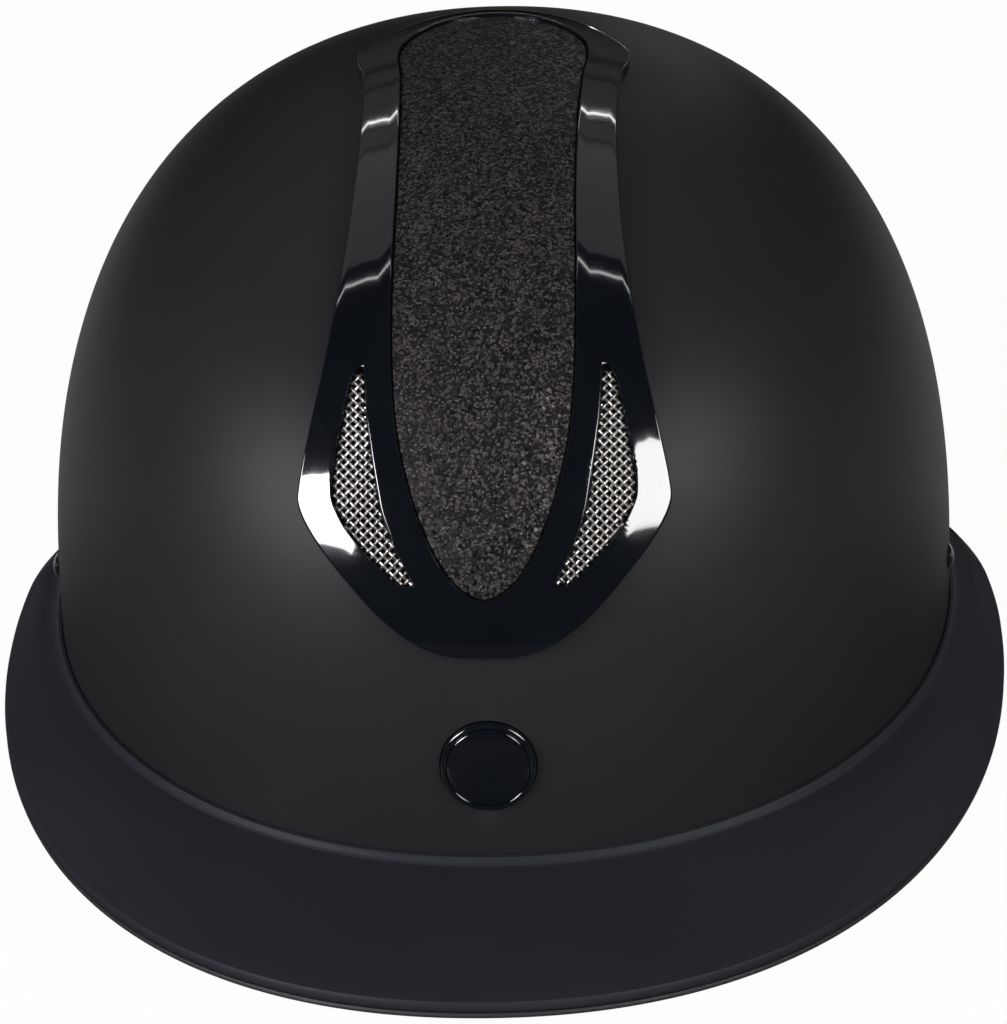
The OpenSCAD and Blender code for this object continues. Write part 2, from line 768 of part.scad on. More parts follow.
// Distance of each air channel from the middle, behind the vents
channel_x = 0.14 * shell_w;
dial_bore = dial_d / 2 + 1.5;
module eps_liner() {
    function channel(x, off) =
        [for (v = [56 : 24 : 296]) [for (s = [-1, 1]) on_skin(x + s * channel_w / 2, v, off)]];
    color(foam_grey) seated()
        difference() {
            dome_wall(liner_out, liner_in, rim, ring_count);
            both_hands() {
                vent_block(1, 8, liner_in - 3, 2);
                slab(
                    channel(channel_x, liner_in + channel_t),
                    channel(channel_x, liner_in - 4)
                );
                strap_slot(-front_rivet_u);
                strap_slot(rear_rivet_u);
            }
            // Round recess behind the dial, with room for the arm guides and their pins
            translate([0, band_y + housing_out + run_gap + dial_t + 2, band_z])
                rotate([90, 0, 0])
                    cylinder(r = dial_bore, h = dial_t + 24);
            at_guides()
                cylinder(d = guide_pin_d + 2 * foam_gap, h = guide_pin_l + foam_gap);
            guides(guide_wall + foam_gap, 0);
        }
}

module crown_pad() {
    lows = [for (k = [0 : ring_points - 1]) skin(0, crown_pad_rise, pad_out).z];
    color(cloth_black) seated()
        dome_wall(pad_out, pad_in, lows, 6);
}

// Padded band round the front and sides of the head
module headband_pad() {
    steps = 32;
    turn = 92;
    levels = [0, 0.12, 0.5, 0.88, 1];
    swell = [0, 0.75, 1, 0.75, 0];
    base = 2;
    function row(u, full) = [
        for (i = [0 : 4])
            at_height(
                u,
                mix(rim_z(u) + base, rim_z(u) + base + headband_h, levels[i]),
                full ? mix(pad_out - 1.2, pad_in, swell[i]) : pad_out
            )
    ];
    function lines(full) = [
        for (i = [0 : 4]) [for (k = [0 : steps]) row(mix(-90 - turn, -90 + turn, k / steps), full)[i]]
    ];
    color(cloth_black) seated()
        slab(lines(false), lines(true));
}

// The fit band is a ring about an upright axis, so its pieces are turned about it.
// They are drawn about that axis with the nape along +X, and turned to +Y here.
module on_band() {
    translate([0, band_y, band_z])
        rotate([0, 0, 90])
            children();
}
module arc(a0, a1) {
    rotate([0, 0, a0])
        rotate_extrude(angle = a1 - a0, $fn = 180)
            children();
}

pitch_r = gear_module * pinion_teeth / 2;
tooth_angle = 180 * gear_module / band_r;
pressure = 25;
add_h = 0.75 * gear_module;
ded_h = 1.05 * gear_module;
backlash = 0.3;
// The flat rack teeth stand this far inside the curved faces of their arm
tooth_inset = 0.1;
rack_back = 2.2;
rack_z = pitch_r + ded_h;
tip_r = pitch_r + add_h;
// Angle each arm runs round the band as the dial goes from loose to tight
travel = dial_turn * pitch_r / band_r;
// Teeth of a rack ahead of the pinion and behind it, while the band is loose
teeth_ahead = 3;
teeth_behind = ceil((travel + 3) / tooth_angle);
overlap_a = teeth_ahead * tooth_angle;
// Behind its teeth an arm steps up to full height, clear of the pinion and the other rack
shoulder_a = travel + (tip_r + 3) * 180 / PI / band_r;
step_a = overlap_a + 2 * travel + 2;
arm_in = band_r - arm_t / 2;
arm_out = band_r + arm_t / 2;

// One rack tooth about the pitch line, pointing down, for the rack above the pinion
module rack_tooth() {
    w = PI * gear_module / 4 - backlash / 2;
    tip = w - add_h * tan(pressure);
    root = w + ded_h * tan(pressure);
    rotate([90, 0, 90])
        linear_extrude(arm_t - 2 * tooth_inset)
            polygon([
                [-root, ded_h], [-tip, -add_h], [tip, -add_h], [root, ded_h],
                [root, ded_h + 0.4], [-root, ded_h + 0.4]
            ]);
}

// An arm with its rack over the pinion; the other hand's is the same arm turned over
module fit_arm() {
    top = rack_z + rack_back;
    low = 0.5;
    // Cuts away the band between two angles and two heights
    module cut(a0, a1, z0, z1) {
        arc(a0, a1)
            translate([arm_in - 1, z0])
                square([arm_t + 2, z1 - z0]);
    }
    color(gloss_black) seated()
        on_band() {
            difference() {
                arc(-arm_reach, overlap_a)
                    translate([arm_in, -arm_h / 2])
                        square([arm_t, arm_h / 2 + top]);
                cut(-arm_reach - 1, -step_a - 2, arm_h / 2, top + 1);
                cut(-step_a, overlap_a + 1, -arm_h / 2 - 1, low);
                cut(-shoulder_a, overlap_a + 1, low - 1, rack_z);
            }
            for (k = [-teeth_behind : teeth_ahead - 1])
                rotate([0, 0, (k + 0.5) * tooth_angle])
                    translate([arm_in + tooth_inset, 0, pitch_r])
                        rack_tooth();
        }
}
module fit_arm_left() {
    fit_arm();
}
module fit_arm_right() {
    seated()
        translate([0, 0, 2 * band_z])
            rotate([0, 180, 0])
                translate([0, -dome_y, -dome_z])
                    fit_arm();
}

// Places of the guides' pins, with +Z outwards from the guide's outer wall
guide_span = 5;
guide_wall = 1.4;
guide_a = arm_reach - travel - guide_span;
guide_pin_d = 4;
guide_pin_l = 9;
module at_guides() {
    on_band()
        for (side = [-1, 1])
            rotate([0, 0, side * guide_a])
                translate([arm_out + run_gap + guide_wall - 0.2, 0, 0])
                    rotate([0, 90, 0])
                        children();
}

// Blocks about both arms, wall thick beyond their running gap, with the arms' way cut by bore
module guides(wall, bore) {
    function box(d) = [[arm_in - d, -arm_h / 2 - d], [arm_t + 2 * d, arm_h + 2 * d]];
    span = guide_span + max(0, wall - guide_wall);
    on_band()
        for (side = [-1, 1])
            arc(side * guide_a - span, side * guide_a + span)
                difference() {
                    translate(box(run_gap + wall)[0])
                        square(box(run_gap + wall)[1]);
                    if (bore > 0)
                        translate(box(bore)[0])
                            square(box(bore)[1]);
                }
}

// Clips that carry the temple ends of the arms, pinned into the liner's inner wall
module arm_guides() {
    color(gloss_black) seated() {
        guides(guide_wall, run_gap);
        at_guides()
            cylinder(d = guide_pin_d, h = guide_pin_l);
    }
}

housing_a = overlap_a + travel + 2.4;
housing_wall = 1.6;
housing_h = 2 * (rack_z + rack_back + run_gap + housing_wall);
housing_in = arm_in - run_gap - housing_wall;
housing_out = arm_out + run_gap + housing_wall;

// Curved box at the nape: both racks run through it, and the pinion turns between them
module dial_housing() {
    color(gloss_black) seated()
        on_band()
            difference() {
                arc(-housing_a, housing_a)
                    translate([housing_in, -housing_h / 2])
                        square([housing_out - housing_in, housing_h]);
                arc(-housing_a - 1, housing_a + 1)
                    translate([arm_in - run_gap, housing_wall - housing_h / 2])
                        square([arm_t + 2 * run_gap, housing_h - 2 * housing_wall]);
                translate([housing_in - 2, 0, 0])
                    rotate([0, 90, 0])
                        cylinder(d = axle_d + 2 * axle_clearance, h = housing_out - housing_in + 4);
            }
}

// Involute flank of the pinion, and one tooth's outline from it
base_r = pitch_r * cos(pressure);
function involute(a) = base_r * [cos(a) + a * PI / 180 * sin(a), sin(a) - a * PI / 180 * cos(a)];
function roll_at(r) = sqrt(max(0, pow(r / base_r, 2) - 1)) * 180 / PI;
module pinion_outline() {
    root_r = pitch_r - ded_h;
    at_pitch = involute(roll_at(pitch_r));
    half_tooth = 90 / pinion_teeth - backlash / 2 / pitch_r * 90 / PI;
    lean = atan2(at_pitch.y, at_pitch.x) + half_tooth;
    steps = 5;
    function turned(p, a) = [p.x * cos(a) - p.y * sin(a), p.x * sin(a) + p.y * cos(a)];
    flank = [for (i = [0 : steps]) turned(involute(roll_at(tip_r) * i / steps), -lean)];
    low = root_r * [cos(lean), -sin(lean)];
    side = concat([low], flank);
    tooth = concat(side, [for (i = [len(side) - 1 : -1 : 0]) [side[i].x, -side[i].y]]);
    union() {
        circle(r = root_r + 0.02);
        for (k = [0 : pinion_teeth - 1])
            rotate(k * 360 / pinion_teeth)
                polygon(concat([[0, 0]], tooth));
    }
}
// The pinion is one with the axle that carries the dial
module dial_pinion() {
    color(steel) seated()
        on_band()
            rotate([0, 90, 0]) {
                translate([0, 0, arm_in])
                    linear_extrude(arm_t)
                        pinion_outline();
                translate([0, 0, housing_in + 0.1])
                    cylinder(d = axle_d, h = housing_out - housing_in - 0.1 + run_gap + eps);
                translate([0, 0, housing_out + run_gap])
                    difference() {
                        cylinder(d = axle_d, h = dial_t - 2.5);
                        translate([0, 0, 1])
                            cylinder(d = axle_d / 2, h = dial_t);
                    }
            }
}

// Scalloped dial, pressed on the axle's end
module dial_knob() {
    hub = housing_out + run_gap;
    color(gloss_black) seated()
        on_band()
            translate([hub, 0, 0])
                rotate([0, 90, 0])
                    difference() {
                        union() {
                            cylinder(d = dial_d - 1.2, h = dial_t);
                            cylinder(d = dial_d, h = dial_t - 1);
                        }
                        translate([0, 0, -1])
                            cylinder(d = axle_d + 0.04, h = dial_t - 2.5 + 1 + run_gap);
                        translate([0, 0, dial_t - 2.5])
                            cylinder(d = axle_d / 2 + 0.4, h = dial_t);
                        translate([0, 0, dial_t - 1])
                            cylinder(d = axle_d + 2, h = dial_t);
                        for (k = [0 : dial_grips - 1])
                            rotate([0, 0, (k + 0.5) * 360 / dial_grips])
                                translate([dial_d / 2 + 0.9, 0, -1])
                                    cylinder(r = 1.8, h = dial_t + 2, $fn = 24);
                    }
}

module dial_screw() {
    color(steel) seated()
        on_band()
            translate([housing_out + run_gap, 0, 0])
                rotate([0, 90, 0])
                    difference() {
                        union() {
                            translate([0, 0, 1.5])
                                cylinder(d = axle_d / 2 - 0.1, h = dial_t - 2);
                            translate([0, 0, dial_t - 0.9])
                                cylinder(d = axle_d + 1.4, h = 0.8);
                        }
                        translate([0, 0, dial_t - 0.5])
                            cube([0.7, 4, 1], center = true);
                    }
}

// Cushion on the inner face of the dial housing
module nape_pad() {
    inner = housing_in - fit_gap;
    color(cloth_black) seated()
        on_band()
            arc(-housing_a - 4, housing_a + 4)
                polygon([
                    [inner, -housing_h / 2], [inner, housing_h / 2 + 4],
                    [inner - 2.5, housing_h / 2 + 4], [inner - 4.2, housing_h / 2],
                    [inner - 4.8, 0], [inner - 4.2, -housing_h / 2 + 3], [inner - 2.5, -housing_h / 2]
                ]);
}

// Webbing along a path of [u, z, off] on the dome; its width lies along the skin
module webbing(path) {
    last = len(path) - 1;
    function place(i, s) =
        let (
            p = path[min(max(i, 0), last)],
            degree = norm(at_height(p[0] + 1, 0, p[2]) - at_height(p[0] - 1, 0, p[2])) / 2
        )
        at_height(p[0] + s * web_w / 2 / degree, p[1], p[2]);
    function row(i, side) = [
        for (s = [-1, 0, 1])
            let (
                wide = place(i, s + 0.5) - place(i, s - 0.5),
                n = unit(cross(wide, place(i + 1, s) - place(i - 1, s)))
            )
                place(i, s) + side * n * web_t / 2
    ];
    slab([for (i = [0 : last]) row(i, 1)], [for (i = [0 : last]) row(i, -1)]);
}

// Level of the middle of a leg where it runs under the liner, clear of the table
function leg_low(u) = max(rim_z(u) - foam_gap, rest_z + web_t + 0.5) - web_t / 2;

// One leg: down behind its rivet, under the liner's edge, and up inside to the divider
divider_rise = 0.237;
divider_z = divider_rise * dome_h;
plate_t = 2.4;
plate_off = web_off - plate_t / 2 - web_t / 2 - 0.2;
function leg(u, u_top) =
    let (
        start = web_seat,
        low = leg_low(u),
        bend = 1.6
    )
    [
        [u, rivet_z + 7, start],
        [u, (rivet_z + low) / 2, start],
        [u, low + bend, start],
        [u, low + 0.3, start - 0.7],
        [u, low, start - bend],
        [u, low, web_off + bend],
        [u, low + 0.3, web_off + 0.6],
        [u, low + bend, web_off],
        [mix(u, u_top, 0.35), -2, web_off],
        [mix(u, u_top, 0.7), divider_z - 20, web_off],
        [u_top, divider_z - 15.5, web_off],
        [u_top, divider_z - 13, plate_off],
        [u_top, divider_z - 7.5, plate_off]
    ];
module strap_leg(u, u_top) {
    color(cloth_black) seated()
        difference() {
            webbing(leg(u, u_top));
            facing(at_height(u, rivet_z, 0), skin_normal(u, rise_at(rivet_z)))
                cylinder(d = shank_d + 2 * fit_gap, h = 30, center = true);
        }
}
front_top_u = -2.5;
rear_top_u = 11;
module strap_front_left() {
    strap_leg(-front_rivet_u, front_top_u);
}
module strap_rear_left() {
    strap_leg(rear_rivet_u, rear_top_u);
}
module strap_front_right() {
    mirror([1, 0, 0])
        strap_leg(-front_rivet_u, front_top_u);
}
module strap_rear_right() {
    mirror([1, 0, 0])
        strap_leg(rear_rivet_u, rear_top_u);
}

// Plate that joins the two legs to the chin strap beside the ear
module ear_divider_left() {
    u = asin(chin_y / back_reach);
    p = rise_at(divider_z, web_off);
    color(gloss_black) seated()
        facing(skin(u, p, web_off), skin_normal(u, p))
            translate([0, 0, -plate_t / 2])
                difference() {
                    linear_extrude(plate_t)
                        hull() {
                            translate([11, -11])
                                circle(d = 6, $fn = 24);
                            translate([11, 11])
                                circle(d = 6, $fn = 24);
                            translate([-12, 9])
                                circle(d = 6, $fn = 24);
                            translate([-12, -9])
                                circle(d = 6, $fn = 24);
                        }
                    for (s = [-7, 7])
                        translate([8.5, s, plate_t / 2])
                            cube([2.6, 11, 2 * plate_t], center = true);
                    translate([-10, 0, plate_t / 2])
                        cube([2.6, web_w + 1, 2 * plate_t], center = true);
                }
}
module ear_divider_right() {
    mirror([1, 0, 0])
        ear_divider_left();
}

// The chin strap is tucked up in an arch over the crown, in the plane y = chin_y.
// q runs over the arch from the wearer's left, 90 at the crown.
function over(q, off) = let (s = skin(0, min(q, 180 - q), off)) [q < 90 ? s.x : -s.x, s.z];
function over_slope(q) =
    let (d = over(q + 0.5, chin_off) - over(q - 0.5, chin_off)) atan2(d.y, d.x);
module at_arch(q) {
    place = over(q, chin_off);
    translate([place.x, chin_y, place.y])
        rotate([0, -over_slope(q), 0])
            children();
}
// A flat band along a path of [q, off], extruded to its width
module band(path, w, t) {
    mid = [for (p = path) over(p[0], p[1])];
    last = len(mid) - 1;
    function n(i) = let (d = unit(mid[min(i + 1, last)] - mid[max(i - 1, 0)])) [-d.y, d.x];
    translate([0, chin_y, 0])
        rotate([90, 0, 0])
            linear_extrude(w, center = true)
                polygon(concat(
                    [for (i = [0 : last]) mid[i] + n(i) * t / 2],
                    [for (i = [last : -1 : 0]) mid[i] - n(i) * t / 2]
                ));
}
// A shape in the strap's own side view, x along it and y inwards, extruded across it
module across(w) {
    rotate([90, 0, 0])
        linear_extrude(w, center = true)
            children();
}

buckle_w = web_w + 1 + 2 * buckle_cheek;
bar_l = 2.4;
bar_t = 2.4;
half_buckle = 14;
socket_end = 6;
rib_l = 5;
rib_t = 5;
neck_t = 2;
slot_end = half_buckle - bar_l;
slot_l = web_t + 2 * fit_gap;
// The webbing's loop round a buckle's bar, and the tail it leaves the loop in
loop_out = fit_gap + web_t;
tail_l = 7;
tail_rise = 0.9;
module bar_loop() {
    difference() {
        translate([-half_buckle - loop_out, -bar_t / 2 - loop_out])
            square([bar_l + 2 * loop_out, bar_t + 2 * loop_out]);
        translate([-half_buckle - fit_gap, -bar_t / 2 - fit_gap])
            square([bar_l + 2 * fit_gap, bar_t + 2 * fit_gap]);
    }
}
// Block with a bar at its end for the webbing
module buckle_end(end) {
    difference() {
        translate([-half_buckle, -buckle_w / 2, -buckle_t / 2])
            cube([half_buckle + end, buckle_w, buckle_t]);
        translate([-slot_end, -(web_w + 1) / 2, -buckle_t])
            cube([slot_l, web_w + 1, 2 * buckle_t]);
        for (side = [-1, 1])
            translate([-half_buckle - eps, -(web_w + 1) / 2, side * (bar_t + buckle_t) / 2 - buckle_t / 2])
                cube([bar_l + 2 * eps, web_w + 1, buckle_t]);
    }
}
// Socket half: the tongue's rib slides into it from the back and can't pull out along the strap
module buckle_socket() {
    color(gloss_black) seated()
        at_arch(buckle_q)
            difference() {
                buckle_end(socket_end);
                translate([0, buckle_cheek, 0])
                    across(buckle_w) {
                        translate([-rib_l / 2 - run_gap, -rib_t / 2 - run_gap])
                            square([rib_l + 2 * run_gap, rib_t + 2 * run_gap]);
                        translate([0, -neck_t / 2 - run_gap])
                            square([socket_end + 1, neck_t + 2 * run_gap]);
                    }
            }
}
module buckle_tongue() {
    rib_w = buckle_w - buckle_cheek - run_gap;
    color(gloss_black) seated()
        at_arch(buckle_q)
            union() {
                mirror([1, 0, 0])
                    buckle_end(-socket_end - run_gap);
                translate([0, (buckle_w - rib_w) / 2, 0])
                    across(rib_w) {
                        translate([-rib_l / 2, -rib_t / 2])
                            square([rib_l, rib_t]);
                        translate([0, -neck_t / 2])
                            square([socket_end + run_gap + 1, neck_t]);
                    }
            }
}
// Degrees along the arch for each millimetre, at the buckle
reach_q = 1 / norm(over(buckle_q + 0.5, chin_off) - over(buckle_q - 0.5, chin_off));
loop_q = (half_buckle + loop_out - 0.5) * reach_q;
module tongue_loop() {
    color(cloth_black) seated() {
        at_arch(buckle_q)
            mirror([1, 0, 0])
                across(web_w)
                    bar_loop();
        band(
            [for (s = [0, 0.5, 1]) [buckle_q + loop_q + s * tail_l * reach_q, chin_off + (1 - s) * tail_rise]],
            web_w, web_t
        );
    }
}
strap_end_q = rise_at(divider_z + 8, web_off);
module chin_strap_short() {
    color(cloth_black) seated() {
        band([
            for (s = [0, 0.3, 0.6, 1])
                [
                    mix(strap_end_q, buckle_q - loop_q, s),
                    mix(plate_off, chin_off + tail_rise, smooth(s * 1.6))
                ]
        ], web_w, web_t);
        at_arch(buckle_q)
            across(web_w)
                bar_loop();
    }
}
long_start_q = buckle_q + loop_q + (tail_l + 0.4) * reach_q;
module chin_strap_long() {
    steps = 24;
    color(cloth_black) seated()
        band([
            for (i = [0 : steps])
                let (s = i / steps)
                    [
                        mix(long_start_q, 180 - strap_end_q, s),
                        mix(chin_off, plate_off, smooth((s - 0.85) / 0.13))
                    ]
        ], web_w, web_t);
}
// Length slider on the chin strap
keeper_q = 63;
module strap_keeper() {
    color(gloss_black) seated()
        difference() {
            band([for (i = [-1, 0, 1]) [keeper_q + i * 2.6, chin_off]], web_w + 4, web_t + 3.2);
            band([for (i = [-2, 0, 2]) [keeper_q + i * 2.6, chin_off]], web_w + 0.8, web_t + 1);
        }
}
// Sleeve of padding on the chin strap
module chin_pad() {
    q0 = 76;
    steps = 8;
    function path(grow) = [
        for (i = [0 : steps]) [mix(q0 - grow, 180 - q0 + grow, i / steps), chin_off]
    ];
    color(cloth_black) seated()
        difference() {
            band(path(0), web_w + 8, chin_pad_t);
            band(path(1), web_w + 0.8, web_t + 1);
        }
}

outer_shell();
brim();
brim_lining();
rim_trim();
panel_frame();
glitter_insert();
vent_mesh_left();
vent_mesh_right();
badge_ring();
badge_dome();
harness_rivets();
rivet_washers();
eps_liner();
crown_pad();
headband_pad();
nape_pad();
fit_arm_left();
fit_arm_right();
arm_guides();
dial_housing();
dial_knob();
dial_pinion();
dial_screw();
strap_front_left();
strap_rear_left();
strap_front_right();
strap_rear_right();
ear_divider_left();
ear_divider_right();
chin_strap_short();
chin_strap_long();
buckle_socket();
buckle_tongue();
tongue_loop();
strap_keeper();
chin_pad();
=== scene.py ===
# %% [markdown]
# # A riding helmet, from its frame to its finish
# The helmet's engineering parts arrive as a fixed frame of named solids. This lesson gives
# them soft pieces, fine edges and finishes. Everything is in metres, the brim points along
# -Y and the helmet stands at z = 0.

# %% Load the frame
import json
from math import asin, copysign, cos, degrees, exp, hypot, pi, radians, sin, sqrt

import bpy
from mathutils import Matrix, Vector
from numpy import interp
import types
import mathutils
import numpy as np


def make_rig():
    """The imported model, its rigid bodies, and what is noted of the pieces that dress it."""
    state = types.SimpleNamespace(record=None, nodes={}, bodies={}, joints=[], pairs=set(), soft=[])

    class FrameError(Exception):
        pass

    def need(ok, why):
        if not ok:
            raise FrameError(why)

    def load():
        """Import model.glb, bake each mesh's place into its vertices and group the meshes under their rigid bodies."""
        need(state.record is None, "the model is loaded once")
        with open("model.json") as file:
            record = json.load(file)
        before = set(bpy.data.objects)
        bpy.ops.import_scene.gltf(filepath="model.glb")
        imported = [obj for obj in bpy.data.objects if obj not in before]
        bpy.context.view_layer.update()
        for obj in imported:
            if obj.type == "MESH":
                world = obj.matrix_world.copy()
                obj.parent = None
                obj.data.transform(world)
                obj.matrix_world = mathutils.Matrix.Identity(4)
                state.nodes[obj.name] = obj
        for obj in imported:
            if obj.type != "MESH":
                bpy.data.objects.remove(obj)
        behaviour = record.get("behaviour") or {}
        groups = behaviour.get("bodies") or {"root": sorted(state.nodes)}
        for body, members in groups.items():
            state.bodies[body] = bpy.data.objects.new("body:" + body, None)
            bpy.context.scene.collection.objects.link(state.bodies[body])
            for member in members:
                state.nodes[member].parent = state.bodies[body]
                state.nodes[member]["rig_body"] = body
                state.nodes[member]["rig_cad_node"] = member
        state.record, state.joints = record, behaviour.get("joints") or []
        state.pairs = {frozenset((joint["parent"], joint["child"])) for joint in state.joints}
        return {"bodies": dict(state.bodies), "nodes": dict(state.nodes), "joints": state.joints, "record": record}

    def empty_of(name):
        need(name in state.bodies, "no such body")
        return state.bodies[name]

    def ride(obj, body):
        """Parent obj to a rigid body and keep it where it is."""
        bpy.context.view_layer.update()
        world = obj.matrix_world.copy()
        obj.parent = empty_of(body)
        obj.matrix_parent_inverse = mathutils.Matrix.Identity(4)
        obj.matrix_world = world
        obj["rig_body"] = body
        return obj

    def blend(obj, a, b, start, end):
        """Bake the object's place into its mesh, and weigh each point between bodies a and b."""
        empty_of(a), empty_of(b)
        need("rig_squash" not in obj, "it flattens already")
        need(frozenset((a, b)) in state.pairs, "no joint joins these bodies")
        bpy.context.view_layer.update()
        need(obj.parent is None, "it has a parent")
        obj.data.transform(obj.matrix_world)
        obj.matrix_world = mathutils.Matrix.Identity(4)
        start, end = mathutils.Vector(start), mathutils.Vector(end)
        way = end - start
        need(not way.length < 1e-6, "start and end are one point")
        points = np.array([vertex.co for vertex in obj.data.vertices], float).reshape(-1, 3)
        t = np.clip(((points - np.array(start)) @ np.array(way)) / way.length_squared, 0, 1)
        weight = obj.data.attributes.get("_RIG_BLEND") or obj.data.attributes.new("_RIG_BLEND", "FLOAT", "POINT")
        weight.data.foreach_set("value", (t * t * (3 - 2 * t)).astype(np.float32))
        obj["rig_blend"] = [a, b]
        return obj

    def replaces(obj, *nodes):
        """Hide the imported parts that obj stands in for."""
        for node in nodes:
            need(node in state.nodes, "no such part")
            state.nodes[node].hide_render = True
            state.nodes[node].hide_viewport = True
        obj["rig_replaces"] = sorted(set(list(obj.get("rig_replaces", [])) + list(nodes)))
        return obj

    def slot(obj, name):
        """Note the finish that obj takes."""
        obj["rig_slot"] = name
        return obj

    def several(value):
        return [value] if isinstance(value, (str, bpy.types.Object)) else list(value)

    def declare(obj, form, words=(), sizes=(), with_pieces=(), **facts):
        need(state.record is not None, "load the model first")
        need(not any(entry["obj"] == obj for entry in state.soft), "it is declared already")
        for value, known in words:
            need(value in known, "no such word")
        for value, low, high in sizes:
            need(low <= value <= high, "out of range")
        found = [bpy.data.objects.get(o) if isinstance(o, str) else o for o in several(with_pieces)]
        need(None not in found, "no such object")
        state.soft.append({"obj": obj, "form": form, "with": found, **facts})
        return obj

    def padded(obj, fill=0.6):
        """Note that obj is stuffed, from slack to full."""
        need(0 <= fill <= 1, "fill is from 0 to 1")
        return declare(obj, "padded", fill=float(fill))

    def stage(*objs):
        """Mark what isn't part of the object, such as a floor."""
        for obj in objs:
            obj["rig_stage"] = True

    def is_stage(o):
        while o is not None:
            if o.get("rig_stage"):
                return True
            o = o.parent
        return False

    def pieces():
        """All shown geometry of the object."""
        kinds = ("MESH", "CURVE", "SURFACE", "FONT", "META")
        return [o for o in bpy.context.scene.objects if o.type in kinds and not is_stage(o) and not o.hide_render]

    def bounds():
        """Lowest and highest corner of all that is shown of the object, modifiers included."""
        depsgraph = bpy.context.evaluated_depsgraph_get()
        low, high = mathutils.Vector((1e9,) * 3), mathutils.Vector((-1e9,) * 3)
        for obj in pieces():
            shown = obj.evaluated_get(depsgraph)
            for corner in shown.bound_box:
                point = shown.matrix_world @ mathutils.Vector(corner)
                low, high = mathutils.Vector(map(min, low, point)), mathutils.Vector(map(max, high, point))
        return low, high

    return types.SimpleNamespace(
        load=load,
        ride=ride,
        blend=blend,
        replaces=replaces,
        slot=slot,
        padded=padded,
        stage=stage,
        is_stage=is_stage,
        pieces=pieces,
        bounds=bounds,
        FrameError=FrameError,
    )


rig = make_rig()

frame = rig.load()
cad_box = [list(corner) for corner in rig.bounds()]
print("CAD box", [[round(x, 4) for x in corner] for corner in cad_box])

# %% [markdown]
# ## The skin that every layer follows
# Shell, foam, pads and straps nest on one domed form. Traced by hand they would drift apart,
# so one function gives the skin, with an offset for each layer. These sizes, in millimetres,
# are the ones the frame was drawn with.

# %% Sizes of the dome
SHELL_W, FRONT, BACK, DOME_H = 214, 129.3, 135.3, 122.4
SIDE_POWER, PLAN_POWER, LEAN = 2.49, 2.1, 3.9
SHELL_T, NAPE_TUCK, NAPE_Z, LOBE_AT, REST_Z = 3, 6, -0.5, 136, -19.6
LOBE_Z, SEAM_Z, SEAM_RISE, LAP = -17.7, -9.9, 3, 4.5
DOME_Y, DOME_Z, FIT_GAP = 25.2481, 19.6, 0.3
PAD_OUT, PAD_IN = -23.8, -29.3


def power(value, exponent):
    return copysign(abs(value) ** exponent, value)


def mix(a, b, share):
    return a + (b - a) * share


def smooth(share):
    share = min(1, max(0, share))
    return share * share * (3 - 2 * share)


def seat(x, y, z):
    """A point drawn about the dome's centre in millimetres, at its place in the frame."""
    return Vector((x, y + DOME_Y, z + DOME_Z)) / 1000


def drawn(point):
    """The way back from the frame to millimetres about the dome's centre."""
    return point * 1000 - Vector((0, DOME_Y, DOME_Z))

# %% The skin, by direction and rise
def rise_at(z, off=0):
    return degrees(asin(power(z / (DOME_H + off), SIDE_POWER / 2)))


def skin(u, rise, off=0):
    """u goes round from the wearer's left, rise up from the widest plane, in degrees."""
    u, rise = radians(u), radians(rise)
    c = max(0, cos(rise)) ** (2 / SIDE_POWER)
    z = (DOME_H + off) * power(sin(rise), 2 / SIDE_POWER)
    reach = (FRONT if sin(u) < 0 else BACK) + off
    tuck = NAPE_TUCK * max(0, sin(u)) * (z / REST_Z) ** 2 if z < 0 else 0
    return seat((SHELL_W / 2 + off) * power(cos(u), 2 / PLAN_POWER) * c,
        reach * power(sin(u), 2 / PLAN_POWER) * c - tuck + LEAN * z / DOME_H, z)


def at_height(u, z, off=0):
    return skin(u, rise_at(z, off), off)


def skin_normal(u, rise):
    across = skin(u + 0.5, rise) - skin(u - 0.5, rise)
    return across.cross(skin(u, rise + 0.5) - skin(u, rise - 0.5)).normalized()

# %% The skin, by distance up the centre line
def middle(s):
    z = DOME_H * sin(radians(s)) ** (2 / SIDE_POWER)
    reach = -FRONT if s < 90 else BACK
    return Vector((reach * abs(cos(radians(s))) ** (2 / SIDE_POWER) + LEAN * z / DOME_H, z))


runs = [0.0]
for s in range(1, 179):
    runs.append(runs[-1] + (middle(s) - middle(s - 1)).length)


def on_skin(x, v, off=0):
    """x across and v up the centre line from the front, in millimetres."""
    s = radians(interp(v, runs, range(len(runs))))
    across = min(1, abs(x) / (SHELL_W / 2 + off))
    k = across ** SIDE_POWER
    z = (DOME_H + off) * (1 - k) ** (1 / SIDE_POWER) * sin(s) ** (2 / SIDE_POWER)
    reach = -FRONT - off if s < pi / 2 else BACK + off
    q = (1 - (1 - k) * sin(s) ** 2) ** (PLAN_POWER / SIDE_POWER) - across ** PLAN_POWER
    return seat(x, reach * max(q, 0) ** (1 / PLAN_POWER) + LEAN * z / DOME_H, z)


print("centre line from front to crown, mm:", round(runs[90], 1))

# %% [markdown]
# ## Tools for the modelling
# Operators act on whatever is selected, so each step starts with nothing selected. A loft is
# a grid whose rows are laid on the sections of a piece, as a sheet is laid on ribs. Bridged
# loops would do too, but a grid brings a UV map that follows the piece.

# %% Selecting and applying
def deselect():
    bpy.ops.object.select_all(action="DESELECT")


def added(operator, name, **settings):
    """Adds an object with nothing else selected."""
    deselect()
    operator(**settings)
    made = bpy.context.object
    made.name = made.data.name = name
    return made


def choose(piece):
    deselect()
    piece.select_set(True)
    bpy.context.view_layer.objects.active = piece


